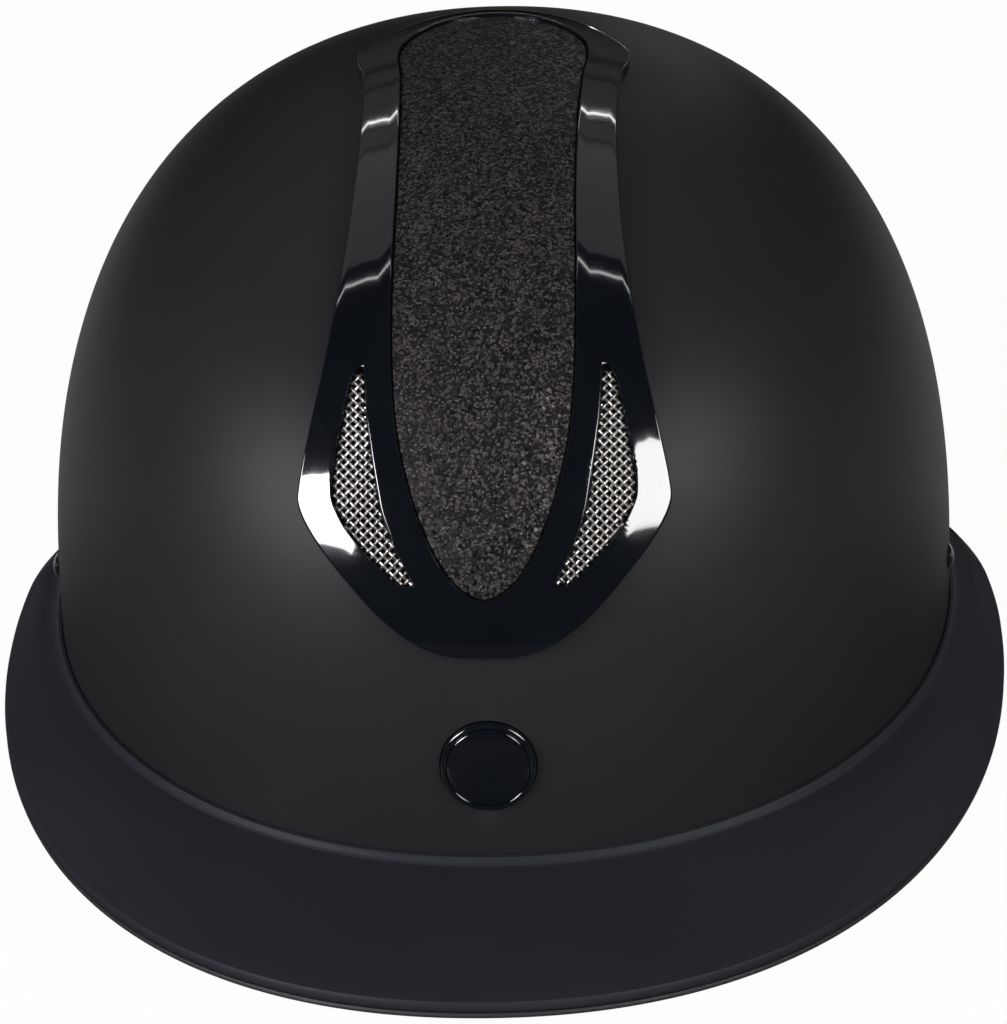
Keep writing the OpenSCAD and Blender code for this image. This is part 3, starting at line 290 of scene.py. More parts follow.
def modify(piece, kind, **settings):
    """Adds a modifier and applies it at once."""
    choose(piece)
    step = piece.modifiers.new(kind.title(), kind)
    for name, value in settings.items():
        setattr(step, name, value)
    bpy.ops.object.modifier_apply(modifier=step.name)

# %% The loft
def loft(name, sections, ring=False, fill=True, uv=None):
    """Closed rows of points become a skin. ring joins the last row to the first."""
    rows, cols = len(sections), len(sections[0])
    piece = added(bpy.ops.mesh.primitive_grid_add, name, x_subdivisions=cols, y_subdivisions=rows - (not ring))
    mesh = piece.data
    cells = [divmod(n, cols + 1) for n in range(len(mesh.vertices))]
    if uv:
        layer = mesh.uv_layers.active.data
        for loop in mesh.loops:
            layer[loop.index].uv = uv(*cells[loop.vertex_index])
    for vertex, (i, j) in zip(mesh.vertices, cells):
        vertex.co = sections[i % rows][j % cols]
    bpy.ops.object.mode_set(mode="EDIT")
    bpy.ops.mesh.select_all(action="SELECT")
    bpy.ops.mesh.remove_doubles(threshold=2e-7)
    if fill and not ring:
        bpy.ops.mesh.fill_holes(sides=0)
    bpy.ops.mesh.normals_make_consistent(inside=False)
    bpy.ops.object.mode_set(mode="OBJECT")
    return piece


def shares(count):
    """Even shares from 0 to 1."""
    return [i / count for i in range(count + 1)]


def through(points, steps):
    """A smooth line through points, with that many steps between each two."""
    line, ends = [], points[:1] + points + points[-1:]
    for a, b, c, d in zip(ends, ends[1:], ends[2:], ends[3:]):
        for t in shares(steps)[:-1]:
            line.append(0.5 * (2 * b + (c - a) * t + (2 * a - 5 * b + 4 * c - d) * t * t
                + (3 * b - a - 3 * c + d) * t ** 3))
    return line + [points[-1].copy()]

# %% [markdown]
# ## Finishes as expressions
# A finish is a small sum: noise here, a mask there, one shader at the end. Two small classes
# let it be written as on paper instead of wired by hand. Colours go through Mix nodes,
# because a Math node would turn them grey.

# %% Sockets that add and multiply
def operator(kind, swapped=False):
    """What Python's + or * does between two sockets, or a socket and a number."""
    return lambda self, other: self.math(kind, *((other, self) if swapped else (self, other)))


class Flow:
    """The output of a node, which can be used in sums."""

    def __init__(self, paint, socket):
        self.paint, self.socket = paint, socket

    def math(self, kind, *values):
        return self.paint.node("ShaderNodeMath", {"operation": kind}, *values)

    __add__, __radd__ = operator("ADD"), operator("ADD", True)
    __sub__, __rsub__ = operator("SUBTRACT"), operator("SUBTRACT", True)
    __mul__, __rmul__ = operator("MULTIPLY"), operator("MULTIPLY", True)
    __truediv__, __pow__ = operator("DIVIDE"), operator("POWER")

    def sine(self):
        return self.math("SINE", self)

    def clamp(self):
        return self.math("MINIMUM", self.math("MAXIMUM", self, 0.0), 1.0)

# %% A finish and its one shader
class Paint:
    """A material that is built up from expressions."""

    def __init__(self, name, owner=None):
        self.material = owner or bpy.data.materials.new("finish_" + name)
        self.material.use_nodes = True
        self.tree = self.material.node_tree
        self.tree.nodes.clear()
        self.where = self.place()

    def node(self, kind, settings=None, *values, out=0, **named):
        """Adds a node, its settings and its sockets' values or links."""
        made = self.tree.nodes.new(kind)
        for key, value in (settings or {}).items():
            setattr(made, key, value)
        for key, value in [*enumerate(values), *named.items()]:
            socket = made.inputs[key if isinstance(key, int) else key.replace("_", " ")]
            if isinstance(value, Flow):
                self.tree.links.new(value.socket, socket)
            elif value is not None:
                opaque = socket.type == "RGBA" and len(value) == 3
                socket.default_value = (*value, 1) if opaque else value
        return Flow(self, made.outputs[out])

    def place(self, scale=(1, 1, 1)):
        return self.node("ShaderNodeMapping", None, self.node("ShaderNodeTexCoord", out="Object"), Scale=scale)

    def uv(self):
        return self.node("ShaderNodeTexCoord", out="UV")

    def split(self, vector):
        parts = self.node("ShaderNodeSeparateXYZ", None, vector).socket.node
        return [Flow(self, part) for part in parts.outputs]

    def vector(self, kind, *values):
        return self.node("ShaderNodeVectorMath", {"operation": kind}, *values)

    def noise(self, scale, detail=2, rough=0.5, where=None, **more):
        return self.node("ShaderNodeTexNoise", None, where or self.where,
            Scale=scale, Detail=detail, Roughness=rough, **more)

    def cells(self, scale, feature="F1", where=None, **more):
        return self.node("ShaderNodeTexVoronoi", {"feature": feature}, where or self.where, Scale=scale, **more)

    def blend(self, share, a, b):
        """A colour between a and b."""
        return self.node("ShaderNodeMix", {"data_type": "RGBA"}, share, *[None] * 5, a, b, out=2)

    def bump(self, height, distance, strength):
        return self.node("ShaderNodeBump", None, Height=height, Distance=distance, Strength=strength)

    def show(self, shade, kind="Material"):
        """Makes a shader what the material or world shows."""
        self.tree.links.new(shade.socket, self.tree.nodes.new("ShaderNodeOutput" + kind).inputs[0])
        return self.material

    def finish(self, **sockets):
        """The one shader. Its constants are set on its own sockets."""
        return self.show(self.node("ShaderNodeBsdfPrincipled", None, **sockets))

# %% [markdown]
# ## Matt paint
# Shell and brim are sprayed with a soft-touch matt paint. Flat colour would look like rubber,
# so its grain goes in as bump and its patchy sheen as roughness. Handled edges wear a little
# paler, which the pointiness of the surface finds.

# %% Matt paint of shell and brim
WEAR = 0.15


def matt_paint(name, dark, pale, roughness, specular):
    paint = Paint(name)
    grain = paint.noise(2600, 3, 0.65)
    cloud = paint.noise(24, 3)
    spots = paint.noise(420, 2)
    worn = ((paint.node("ShaderNodeNewGeometry", out="Pointiness") - 0.53) * 9).clamp() * spots
    tone = (cloud * 0.6 + grain * 0.4).clamp()
    base = paint.blend(worn * WEAR, paint.blend(tone, dark, pale), tuple(c * 2.2 + 0.02 for c in pale))
    rough = roughness + (cloud - 0.5) * 0.1 + (grain - 0.5) * 0.08
    return paint.finish(Base_Color=base, Roughness=rough, Specular_IOR_Level=specular,
        Normal=paint.bump(grain, 0.00006, 0.5))


matt_paint("shell_black", (0.0092, 0.0087, 0.0096), (0.0138, 0.0130, 0.0143), 0.43, 0.16)
matt_paint("brim_black", (0.0114, 0.0128, 0.0156), (0.0166, 0.0186, 0.0226), 0.5, 0.12)

# %% [markdown]
# ## Gloss plastic
# The panel's frame is piano-black plastic, which is never quite flat: a slow ripple bends the
# lamps in it. Dark metal would tint them, but a clear coat over a nearly black base keeps
# them white, and small differences in roughness break them up.

# %% Gloss plastic
paint = Paint("gloss_black")
ripple = paint.noise(75, 1)
wipe = paint.noise(260, 3)
paint.finish(
    Base_Color=paint.blend(ripple, (0.0018, 0.0023, 0.0034), (0.0028, 0.0037, 0.0054)),
    Roughness=0.05 + wipe * 0.05, Specular_IOR_Level=0.7, Coat_Weight=0.85 + wipe * 0.15,
    Coat_Roughness=0.03, Coat_IOR=1.5, Normal=paint.bump(ripple, 0.0003, 0.25))

# %% [markdown]
# ## Sparkle insert
# The insert is charcoal with metal flakes, each at its own tilt. A few flakes flash, painted
# paler as painted highlights and given some metal, and the rest stay dark. Noise alone would
# make them run together. A Voronoi pattern gives each flake its own random colour, which also
# tilts its normal, and a finer one adds painted glints, paler specks, between them.

# %% Sparkling charcoal
paint = Paint("sparkle_charcoal")
ragged = paint.vector("MULTIPLY_ADD", paint.noise(1700, out="Color"), (0.0003,) * 3, paint.where)
random = paint.cells(1550, where=ragged, out="Color")
fine = paint.cells(2700, out="Color")
pick, tilt, shade = paint.split(random)
speck, _, _ = paint.split(fine)
# Painted highlights: flashing flakes and fine glints are paler in colour at random, besides the metal and tilted
# normals that catch real light.
painted_flash = ((pick - 0.62) * 3).clamp()
painted_glint = ((speck - 0.8) * 6).clamp()
base = paint.blend(shade, (0.0021, 0.0019, 0.0021), (0.0108, 0.0096, 0.0100))
base = paint.blend((painted_flash * (0.25 + tilt * 0.75)).clamp(), base, (0.072, 0.063, 0.062))
base = paint.blend(painted_glint * 0.75, base, (0.100, 0.088, 0.086))
tilted = paint.vector("SUBTRACT", random, (0.5,) * 3)
leaning = paint.vector("MULTIPLY_ADD", tilted, (0.42,) * 3, paint.node("ShaderNodeNewGeometry", out="Normal"))
leaning = paint.vector("NORMALIZE", leaning)
paint.finish(
    Base_Color=base, Metallic=(painted_flash * 0.45 + painted_glint * 0.2).clamp(), Roughness=0.5 - painted_flash * 0.14,
    Specular_IOR_Level=0.08, Normal=leaning)

# %% [markdown]
# ## Metal
# The vents' mesh and the dial's axle are metal. It is all reflection, so a pattern in its
# colour would not show, and its look is in its roughness: drawn metal has fine streaks.

# %% Mesh silver and steel
def metal(name, colour, roughness, streak):
    paint = Paint(name)
    grain = paint.noise(1, 3, where=paint.place(streak))
    dust = paint.noise(300, 2)
    return paint.finish(
        Base_Color=paint.blend(dust, colour, tuple(c * 0.86 for c in colour)), Metallic=1.0,
        Roughness=roughness + (grain - 0.5) * 0.14, Normal=paint.bump(grain, 0.00003, 0.4))


metal("mesh_silver", (0.54, 0.52, 0.50), 0.42, (400, 2600, 2600))
metal("steel", (0.55, 0.54, 0.53), 0.28, (300, 2200, 2200))

# %% [markdown]
# ## Foam, rubber, nylon and lining
# Foam shows the beads it was blown from, pressed flat on one another. Rubber and nylon have
# the fine grain of a spark-eroded tool, and the lining is grained like vinyl. All could be
# image textures, but cells and noise need no seams and have no size of their own.

# %% Bead foam
paint = Paint("foam_grey")
seams = (paint.cells(360, "DISTANCE_TO_EDGE") * 9).clamp()
shade, _, _ = paint.split(paint.cells(360, out="Color"))
crumbs = paint.noise(2400, 3, 0.6)
beads = (seams * 0.7 + shade * 0.2 + crumbs * 0.1).clamp()
paint.finish(
    Base_Color=paint.blend(beads, (0.016, 0.016, 0.018), (0.050, 0.050, 0.054)),
    Roughness=0.72 + shade * 0.15, Specular_IOR_Level=0.3,
    Normal=paint.bump(seams * 0.9 + crumbs * 0.1, 0.00045, 0.8))

# %% Grained mouldings
def grained(name, dark, pale, roughness, scale, depth):
    paint = Paint(name)
    pits = paint.cells(scale, "SMOOTH_F1")
    fine = paint.noise(scale * 2.6, 2)
    cloud = paint.noise(40, 2)
    tone = (pits * 0.6 + cloud * 0.4).clamp()
    return paint.finish(
        Base_Color=paint.blend(tone, dark, pale), Roughness=roughness + (fine - 0.5) * 0.16,
        Specular_IOR_Level=0.35, Normal=paint.bump(pits * 0.7 + fine * 0.3, depth, 0.6))


grained("nylon_black", (0.010, 0.010, 0.011), (0.019, 0.019, 0.021), 0.42, 1900, 0.00005)
grained("trim_black", (0.011, 0.011, 0.011), (0.020, 0.020, 0.020), 0.66, 1500, 0.00008)
grained("lining_black", (0.012, 0.012, 0.013), (0.021, 0.021, 0.022), 0.55, 900, 0.00018)

# %% [markdown]
# ## Cloth
# The pads' knit is rows of small eyes. Woven tape has ribs along it, crossed by a chevron of
# yarns. In object space the threads would not turn with the piece, so both follow its UV
# map, which the loft has laid out in metres.

# %% Knit
paint = Paint("pad_cloth")
across, along, _ = paint.split(paint.uv())
EYE = 0.0023
turns = 2 * pi / EYE
eyes = ((along * turns).sine() * (across * turns).sine() * 0.5 + 0.5) ** 2.2
fluff = paint.noise(1500, 4, 0.7)
shade = paint.noise(30, 2)
paint.finish(
    Base_Color=paint.blend((eyes * 0.8 + fluff * 0.3).clamp(), (0.040, 0.040, 0.043), (0.010, 0.010, 0.011)),
    Roughness=0.86 + (shade - 0.5) * 0.1, Specular_IOR_Level=0.25, Sheen_Weight=0.35, Sheen_Roughness=0.4,
    Normal=paint.bump(fluff * 0.35 - eyes, 0.00035, 0.8))

# %% Webbing
paint = Paint("webbing_black")
across, along, _ = paint.split(paint.uv())
YARN, CHEVRON = 0.0011, 0.004
zigzag = across.math("PINGPONG", across, CHEVRON) * 1.4 + along
yarns = (zigzag * (2 * pi / YARN)).sine() * 0.5 + 0.5
cords = (across * (2 * pi / (YARN * 1.3))).sine() * 0.5 + 0.5
fluff = paint.noise(2500, 3, 0.7)
weave = (yarns * 0.6 + cords * 0.3 + fluff * 0.2).clamp()
paint.finish(
    Base_Color=paint.blend(weave, (0.006, 0.006, 0.0065), (0.026, 0.026, 0.028)),
    Roughness=0.7 + fluff * 0.15, Specular_IOR_Level=0.3, Sheen_Weight=0.2, Sheen_Roughness=0.5,
    Normal=paint.bump(weave, 0.00025, 0.9))
finishes = {m.name.removeprefix("finish_"): m for m in bpy.data.materials if m.name.startswith("finish_")}
print(len(finishes), "finishes:", sorted(finishes))

# %% [markdown]
# ## Handing a piece over
# Each new piece takes its finish, rides on the body that carries it, and says which solids
# of the frame it stands for.

# %% Give a piece its finish and its place
def hand_over(piece, finish, *nodes, body="helmet", angle=50):
    piece.data.materials.clear()
    piece.data.materials.append(finishes[finish])
    choose(piece)
    bpy.ops.object.shade_smooth_by_angle(angle=radians(angle))
    if body:
        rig.ride(piece, body)
    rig.slot(piece, finish)
    if nodes:
        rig.replaces(piece, *nodes)
    size = [round(1000 * (max(line) - min(line)), 1) for line in zip(*(v.co for v in piece.data.vertices))]
    print(f"{piece.name}: {len(piece.data.polygons)} faces, {size} mm")
    return piece

# %% [markdown]
# ## Outer shell
# The shell is one moulding, drawn down to a lobe behind each ear and cut up at the nape. Two
# lofts could give its two faces, but a sheet from the lower edge to the crown needs only one:
# Solidify gives the wall, so both faces stay parallel, and a fine bevel breaks the cut edge.

# %% The curve of the lower edge
def seam_z(u):
    return SEAM_Z + SEAM_RISE * cos(radians(u)) ** 2


def rim_z(u):
    from_front = abs((u + 630) % 360 - 180)
    if from_front < LOBE_AT:
        return mix(seam_z(u) - LAP, LOBE_Z, smooth((from_front - 96) / (LOBE_AT - 96)))
    return mix(LOBE_Z, NAPE_Z, smooth((from_front - LOBE_AT) / (180 - LOBE_AT)))

# %% The dome as a sheet
def dome_row(share):
    """A row round the dome, at a share of the way up."""
    return [skin(u, mix(rise_at(rim_z(u)), 90, share)) for u in (360 * k / 216 for k in range(216))]


shell = loft("shell", [dome_row(share) for share in shares(84)], fill=False)
modify(shell, "SOLIDIFY", thickness=0.003, offset=-1, use_even_offset=True)

# %% [markdown]
# The vents are real openings, since painted ones would look flat from the side. Their cutter
# is lofted from the vent's outline, smaller than the frame's opening, so that a land of shell
# carries the mesh.

# %% Outline of a vent
VENT_INNER = [(51.5, 14.6), (60.7, 19.3), (68.5, 22.2), (79, 23.9), (89, 25.3), (96.5, 25.6), (100.6, 26.2)]
VENT_OUTER = [(51.5, 15.2), (53, 19.3), (58.8, 25.4), (65.2, 30.5), (70.5, 33), (75.5, 33), (84.4, 31.5), (97, 29),
    (100.6, 26.9)]
VENT_LOW, VENT_HIGH, CORNER_R = 52.6, 100.2, 1.5


def between(pairs, v):
    """The outline at v, its corners rounded by a mean of places close by."""
    reach = min(CORNER_R, v - pairs[0][0], pairs[-1][0] - v)
    return sum(interp(v + reach * k / 3, *zip(*pairs)) for k in range(-3, 4)) / 7


def vent_loop(inset, side):
    """The vent's outline drawn in by an inset, as points (x, v)."""
    inner, outer = [], []
    for share in shares(54):
        v = mix(VENT_LOW + 1.6 * inset, VENT_HIGH - 1.6 * inset, share)
        held = min(VENT_HIGH, max(VENT_LOW, v))
        a, b = between(VENT_INNER, held) + 1.15 * inset, between(VENT_OUTER, held) - 1.15 * inset
        half, centre = max(0.25, (b - a) / 2), (a + b) / 2
        inner.append((side * (centre - half), v))
        outer.append((side * (centre + half), v))
    return inner + outer[::-1]


def cut(piece, cutter):
    modify(piece, "BOOLEAN", operation="DIFFERENCE", solver="EXACT", object=cutter)
    bpy.data.objects.remove(cutter)


def cut_vents(piece, levels):
    """Cuts both vents. Each level is (height over the skin, inset)."""
    for side in (-1, 1):
        rows = [[on_skin(x, v, off) for x, v in vent_loop(inset, side)] for off, inset in levels]
        cut(piece, loft("cutter", rows))


LAND = 1.6
cut_vents(shell, [(off, LAND) for off in (-8, -3, 2, 8)])

# %% [markdown]
# The badge's seat and the rivets' holes are drilled with cylinders, turned to face along the
# skin's normal, since a hole that runs straight down would be oval on the dome.

# %% Drill the shell
def facing(place, normal):
    """Brings +Z at the origin to a place on the skin."""
    return Matrix.Translation(place) @ normal.to_track_quat("Z", "Y").to_matrix().to_4x4()


def drill(piece, pose, radius, low, high):
    bit = added(bpy.ops.mesh.primitive_cylinder_add, "bit",
        vertices=48, radius=radius, depth=high - low, location=(0, 0, (low + high) / 2))
    bpy.ops.object.transform_apply(location=True)
    bit.data.transform(pose)
    cut(piece, bit)


BADGE_V, BADGE_D = 11.8, 21
badge_up = on_skin(0, BADGE_V + 1) - on_skin(0, BADGE_V - 1)
badge_pose = facing(on_skin(0, BADGE_V), Vector((1, 0, 0)).cross(badge_up).normalized())
drill(shell, badge_pose, (BADGE_D / 2 + FIT_GAP) / 1000, -0.001, 0.004)
RIVET_Z, RIVET_HOLE_R = 7.4, 0.0021
rise = rise_at(RIVET_Z)
for u in (-8.7, 43, 188.7, 137):
    drill(shell, facing(skin(u, rise), skin_normal(u, rise)), RIVET_HOLE_R, -0.006, 0.003)
modify(shell, "BEVEL", width=0.0003, segments=2, limit_method="ANGLE", angle_limit=radians(50))
hand_over(shell, "shell_black", "outer_shell", angle=35)
modify(shell, "WEIGHTED_NORMAL", keep_sharp=True, weight=50)

# %% [markdown]
# ## Badge
# A ring stands in the round seat and holds a domed cap, which is left bare. A sphere and a
# torus would have no edges, so both are turned: a profile goes round the badge's axis, and
# small radii give the thin bright arcs that the photograph shows.

# %% Turned pieces
def turned(name, profile, pose):
    """A profile of (radius, height) in millimetres, turned round the pose's axis."""
    turns = [2 * pi * k / 120 for k in range(120)]
    return loft(name, [[pose @ Vector((r / 1000 * cos(a), r / 1000 * sin(a), h / 1000)) for a in turns]
        for r, h in profile], fill=False)


RING_W, RISE, SEAT = 1.3, 1.1, 0.85
out, lip, rim = BADGE_D / 2, BADGE_D / 2 - RING_W, 1.05
ring = [(lip, -SEAT), (out, -SEAT), (out, rim - 0.55), (out - 0.08, rim - 0.3), (out - 0.25, rim - 0.12),
    (out - 0.5, rim - 0.02), (out - 0.75, rim), (lip + 0.25, rim - 0.04), (lip + 0.06, rim - 0.14),
    (lip, rim - 0.3), (lip, -SEAT)]
hand_over(turned("badge_rim", ring, badge_pose), "gloss_black", "badge_ring")
r = lip - 0.1
bulge = (r * r + RISE * RISE) / (2 * RISE)
cap = [(r * s * 0.985, rim + RISE - bulge + sqrt(bulge * bulge - (r * s * 0.985) ** 2)) for s in shares(24)]
cap += [(r, rim - 0.12), (r, rim - 0.4), (r, -SEAT), (1.5, -SEAT), (1.5, -3.2), (0, -3.2)]
hand_over(turned("badge_cap", cap, badge_pose), "gloss_black", "badge_dome")

# %% [markdown]
# ## Brim
# The brim is a second moulding that laps the shell along a fine seam. A bent sheet would keep
# one section, but this one changes all the way round, so it is a loft: each section runs from
# the seam over a small lip, down a hollow, out to the rounded edge and back under.

# %% Outline and levels of the brim
BRIM_W, BRIM_REACH, WIDE_AT, BRIM_POWER, REAR_RATE = 238.8, 187.5, 11.6, 2.1, 0.6
FRONT_Z, SIDE_Z, BRIM_T, LINING_T, LIP_T = -16.2, -19.7, 2.9, 1.3, 1.5
BRIM_END, FADE_START = 118, 100


def brim_outline(g):
    t = radians(90 - abs(g))
    rate = REAR_RATE if t < 0 else 1
    return Vector((copysign(1, g) * BRIM_W / 2 * cos(t) ** (2 / BRIM_POWER),
        -WIDE_AT - rate * (BRIM_REACH - WIDE_AT) * power(sin(t), 2 / BRIM_POWER)))


def root_u(g):
    away = abs(g) if abs(g) < 90 else mix(90, abs(g), REAR_RATE)
    return -90 + copysign(away, g)


def fade(g):
    return 1 - max(0, (abs(g) - FADE_START) / (BRIM_END - FADE_START)) ** 2


def edge_z(g):
    s = sin(radians(g)) ** 2
    z = mix(FRONT_Z, SIDE_Z, s * (2 - s))
    held = 1 if abs(g) < 90 else 1 - smooth((abs(g) - 90) / (BRIM_END - 90))
    return mix(rim_z(root_u(g)) - LINING_T, z, held)


def root_of(g, z):
    u = root_u(g)
    return drawn(at_height(u, min(z, seam_z(u)), FIT_GAP)).xy


def brim_points(g, places):
    """Points from (distance out from the seam, height)."""
    line = []
    for d, z in places:
        root = root_of(g, z)
        line.append(seat(*(root + (brim_outline(g) - root).normalized() * d), z))
    return line


def brim_run(g):
    return max(LIP_T + 0.4, (brim_outline(g) - root_of(g, 99)).length * fade(g))

# %% Section of the brim
def brim_section(g):
    run, u = brim_run(g), root_u(g)
    seam = mix(rim_z(u) + 1.5, seam_z(u), fade(g))
    edge, plane = edge_z(g) + LINING_T + BRIM_T, seam - 0.38 * LAP
    near = min(run * 0.8, LIP_T + 3)
    base, low = rim_z(u), edge_z(g) + LINING_T + FIT_GAP / 2
    fall = edge - low
    lip = [(0, seam), (min(LIP_T, run) - 0.35, seam)]
    sweep = [(min(LIP_T, run - 0.3), seam - 0.4), (min(LIP_T + 0.8, run - 0.2), plane + 0.3),
        (near, mix(plane, edge, near / run * 0.5))]
    sweep += [(mix(near, run, out), mix(plane, edge, down) + lift)
        for out, down, lift in ((0.33, 0.36, 0.25), (0.67, 0.7, 0.25), (0.94, 0.97, 0))]
    rim = [(run - 0.45, edge - 0.12 * fall), (run - 0.12, edge - 0.3 * fall), (run, edge - 0.52 * fall),
        (run - 0.1, edge - 0.78 * fall), (run - 0.5, low)]
    under = [(run * s, mix(base, low, s)) for s in (0.9, 0.75, 0.55, 0.32, 0.16, 0)]
    return brim_points(g, lip) + through(brim_points(g, sweep), 5) + brim_points(g, rim + under)


STATIONS = [BRIM_END * i / 110 if i else 1e-6 for i in range(-110, 111)]
hand_over(loft("brim_cover", [brim_section(g) for g in STATIONS]), "brim_black", "brim", angle=40)

# %% [markdown]
# ## Lining and edging
# A grained sheet covers the brim's underside and ends in a rolled bead, on which the helmet
# stands. Behind the brim a rubber channel is pushed over the shell's edge. Swept curves would
# leave gaps, so both are lofts along the brim's own curves.

# %% Lining under the brim
def lining_section(g):
    run, u = brim_run(g), root_u(g)
    base, edge = rim_z(u) - FIT_GAP / 2, edge_z(g) + LINING_T - FIT_GAP / 2
    inner = drawn(at_height(u, base, -SHELL_T))

    def laid(places):
        return brim_points(g, [(d, max(REST_Z, z)) for d, z in places])

    def inner_edge(z):
        return [seat(inner.x, inner.y, max(REST_Z, z))]

    top = [(0, base)] + [(run * s, mix(base, edge, s)) for s in (0.2, 0.33, 0.5, 0.67, 0.82, 0.95)]
    roll = [(run - 0.35, edge - 0.05), (run - 0.05, edge - 0.35 * LINING_T), (run - 0.1, edge - 0.75 * LINING_T),
        (run - 0.5, edge - LINING_T), (run - 2.4, edge - LINING_T), (run - 3.0, edge - 0.7 * LINING_T)]
    under = [(run * s, mix(base, edge, s) - LINING_T) for s in (0.82, 0.67, 0.5, 0.33, 0.2, 0)]
    if run < 20:
        roll[4:] = [under[0]] * 2
    return inner_edge(base) + laid(top + roll + under) + inner_edge(base - LINING_T)


hand_over(loft("brim_underside", [lining_section(g) for g in STATIONS]), "lining_black", "brim_lining", angle=40)

# %% Rubber edging
TRIM_LEG_T, TRIM_LEG_H, FLANGE_T = 1.3, 4, 2
leg = FIT_GAP + TRIM_LEG_T
foot = -FLANGE_T - FIT_GAP
TRIM_SECTION = [
    (FIT_GAP, TRIM_LEG_H - 0.3), (mix(FIT_GAP, leg, 0.5), TRIM_LEG_H), (leg - 0.3, TRIM_LEG_H - 0.3),
    (leg, TRIM_LEG_H - 1), (leg, 1), (leg, -FLANGE_T / 2), (leg - 0.15, -FLANGE_T / 2 - 0.7), (leg - 0.7, foot),
    (-1.5, foot), (-SHELL_T, foot), (-SHELL_T, -FIT_GAP), (-1.5, -FIT_GAP), (FIT_GAP, -FIT_GAP), (FIT_GAP, 1)]


def trim_section(u):
    row = []
    for off, rise in TRIM_SECTION:
        z = max(REST_Z, rim_z(u) + rise)
        point = drawn(at_height(u, max(z, rim_z(u) - FIT_GAP), off))
        row.append(seat(point.x, point.y, z))
    return row


TRIM_START = root_u(BRIM_END) + 2
trim = loft("rubber_edging", [trim_section(mix(TRIM_START, 180 - TRIM_START, share)) for share in shares(160)])
hand_over(trim, "trim_black", "rim_trim", angle=40)

# %% [markdown]
# ## Centre panel
# A gloss frame stands proud of the shell and carries a sparkling insert. Its lower corners
# catch the lamps as two white patches, so its flanks are gently rounded. A bevelled plate
# would not follow the dome, so the frame is a loft round a loop, and the vents are cut with a
# cutter whose mouth flares in a small round. Weighted normals keep the long thin faces of
# that cut from bending the reflections.

# %% Outlines of panel and insert
PANEL = [(0, 37.2), (8, 37.5), (15.5, 40), (23, 45.5), (30.5, 53.5), (36.8, 61.5), (40.4, 68.5), (40.4, 74),
    (38, 86.5), (35, 101), (32.2, 119), (29.9, 143), (29.2, 174), (30, 203), (31.8, 218), (30.5, 226),
    (22, 238), (11, 245), (0, 247)]
INSERT = [(0, 49.7), (4.5, 51.5), (9.1, 56.4), (13.4, 65), (16.6, 75), (19, 87), (20.1, 103), (20.2, 124),
    (20, 148), (20.3, 174), (21.2, 200), (22.2, 217), (20.5, 228), (15, 236.5), (8, 241.5), (0, 243)]
PANEL_H, EDGE_IN, DROP, GAP = 2.5, 0.5, 0.7, 0.25


def outline(half, stations):
    """A closed loop from a half outline."""
    points = [Vector(p) for p in half]
    full = [Vector((-points[1].x, points[1].y))] + points + [Vector((-points[-2].x, points[-2].y))]
    fine = through(full, 12)[12:-12]
    side = []
    for share in shares(stations):
        t = share * (len(fine) - 1)
        k = min(int(t), len(fine) - 2)
        side.append(fine[k].lerp(fine[k + 1], t - k))
    side[0].x = side[-1].x = 0
    return side + [Vector((-p.x, p.y)) for p in side[-2:0:-1]]


def inset(loop, d):
    moved = []
    for before, p, after in zip(loop[-1:] + loop, loop, loop[1:] + loop[:1]):
        t = (after - before).normalized()
        moved.append(p + d * Vector((-t.y, t.x)))
    return moved


panel_loop, insert_loop = outline(PANEL, 150), outline(INSERT, 150)

# %% Gloss frame
def lerped(a, b, share):
    return [p.lerp(q, share) for p, q in zip(a, b)]


bottom = 1.5 * FIT_GAP
LIP = [(-0.3, 0), (-0.13, 0.08), (-0.06, 0.2), (0.05, 0.5), (0.6, 1.1), (8, 1.1)]
ROUND = [(0.03, 1.9), (0.08, 2.24), (0.17, 2.4), (0.3, 2.47), (EDGE_IN, PANEL_H)]
levels = [(panel_loop, bottom), (panel_loop, 0.9)] + [(inset(panel_loop, d), h) for d, h in ROUND]
top_out, top_in = inset(panel_loop, EDGE_IN), inset(insert_loop, -0.5)
levels += [(lerped(top_out, top_in, s), PANEL_H + 0.06 * s * (1 - s)) for s in (0.17, 0.33, 0.5, 0.67, 0.83)]
levels += [(top_in, PANEL_H), (inset(insert_loop, -0.2), PANEL_H - 0.12), (insert_loop, PANEL_H - 0.45),
    (insert_loop, bottom)]
levels += [(lerped(panel_loop, insert_loop, s), 2 * FIT_GAP) for s in (0.67, 0.33)]
rings = [[on_skin(p.x, p.y, off) for p in loop] for loop, off in levels]
gloss = loft("gloss_frame", [list(section) for section in zip(*rings)], ring=True)
cut_vents(gloss, [(-2, 0)] + [(PANEL_H + h, -d) for h, d in LIP])
hand_over(gloss, "gloss_black", "panel_frame", angle=28)
modify(gloss, "WEIGHTED_NORMAL", keep_sharp=True, weight=50)

# %% [markdown]
# ## Woven mesh of the vents
# Behind the gloss frame lies a fine woven wire cloth. A pattern on a flat sheet would have no
# depth, so each wire is a thin tube, laid slantwise over the vent, rising over one neighbour
# and diving under the next. A few sides are enough for it.

# %% Wires over a vent
WIRE_PITCH, WIRE_R, WAVE, MESH_OFF = 1.5, 0.35, 0.21, 0.92
MIDDLE_X, MIDDLE_V, HEM = 24, 76, 0.15


def inside_vent(x, v):
    if not VENT_LOW + HEM < v < VENT_HIGH - HEM:
        return False
    return between(VENT_INNER, v) + HEM < x < between(VENT_OUTER, v) - HEM


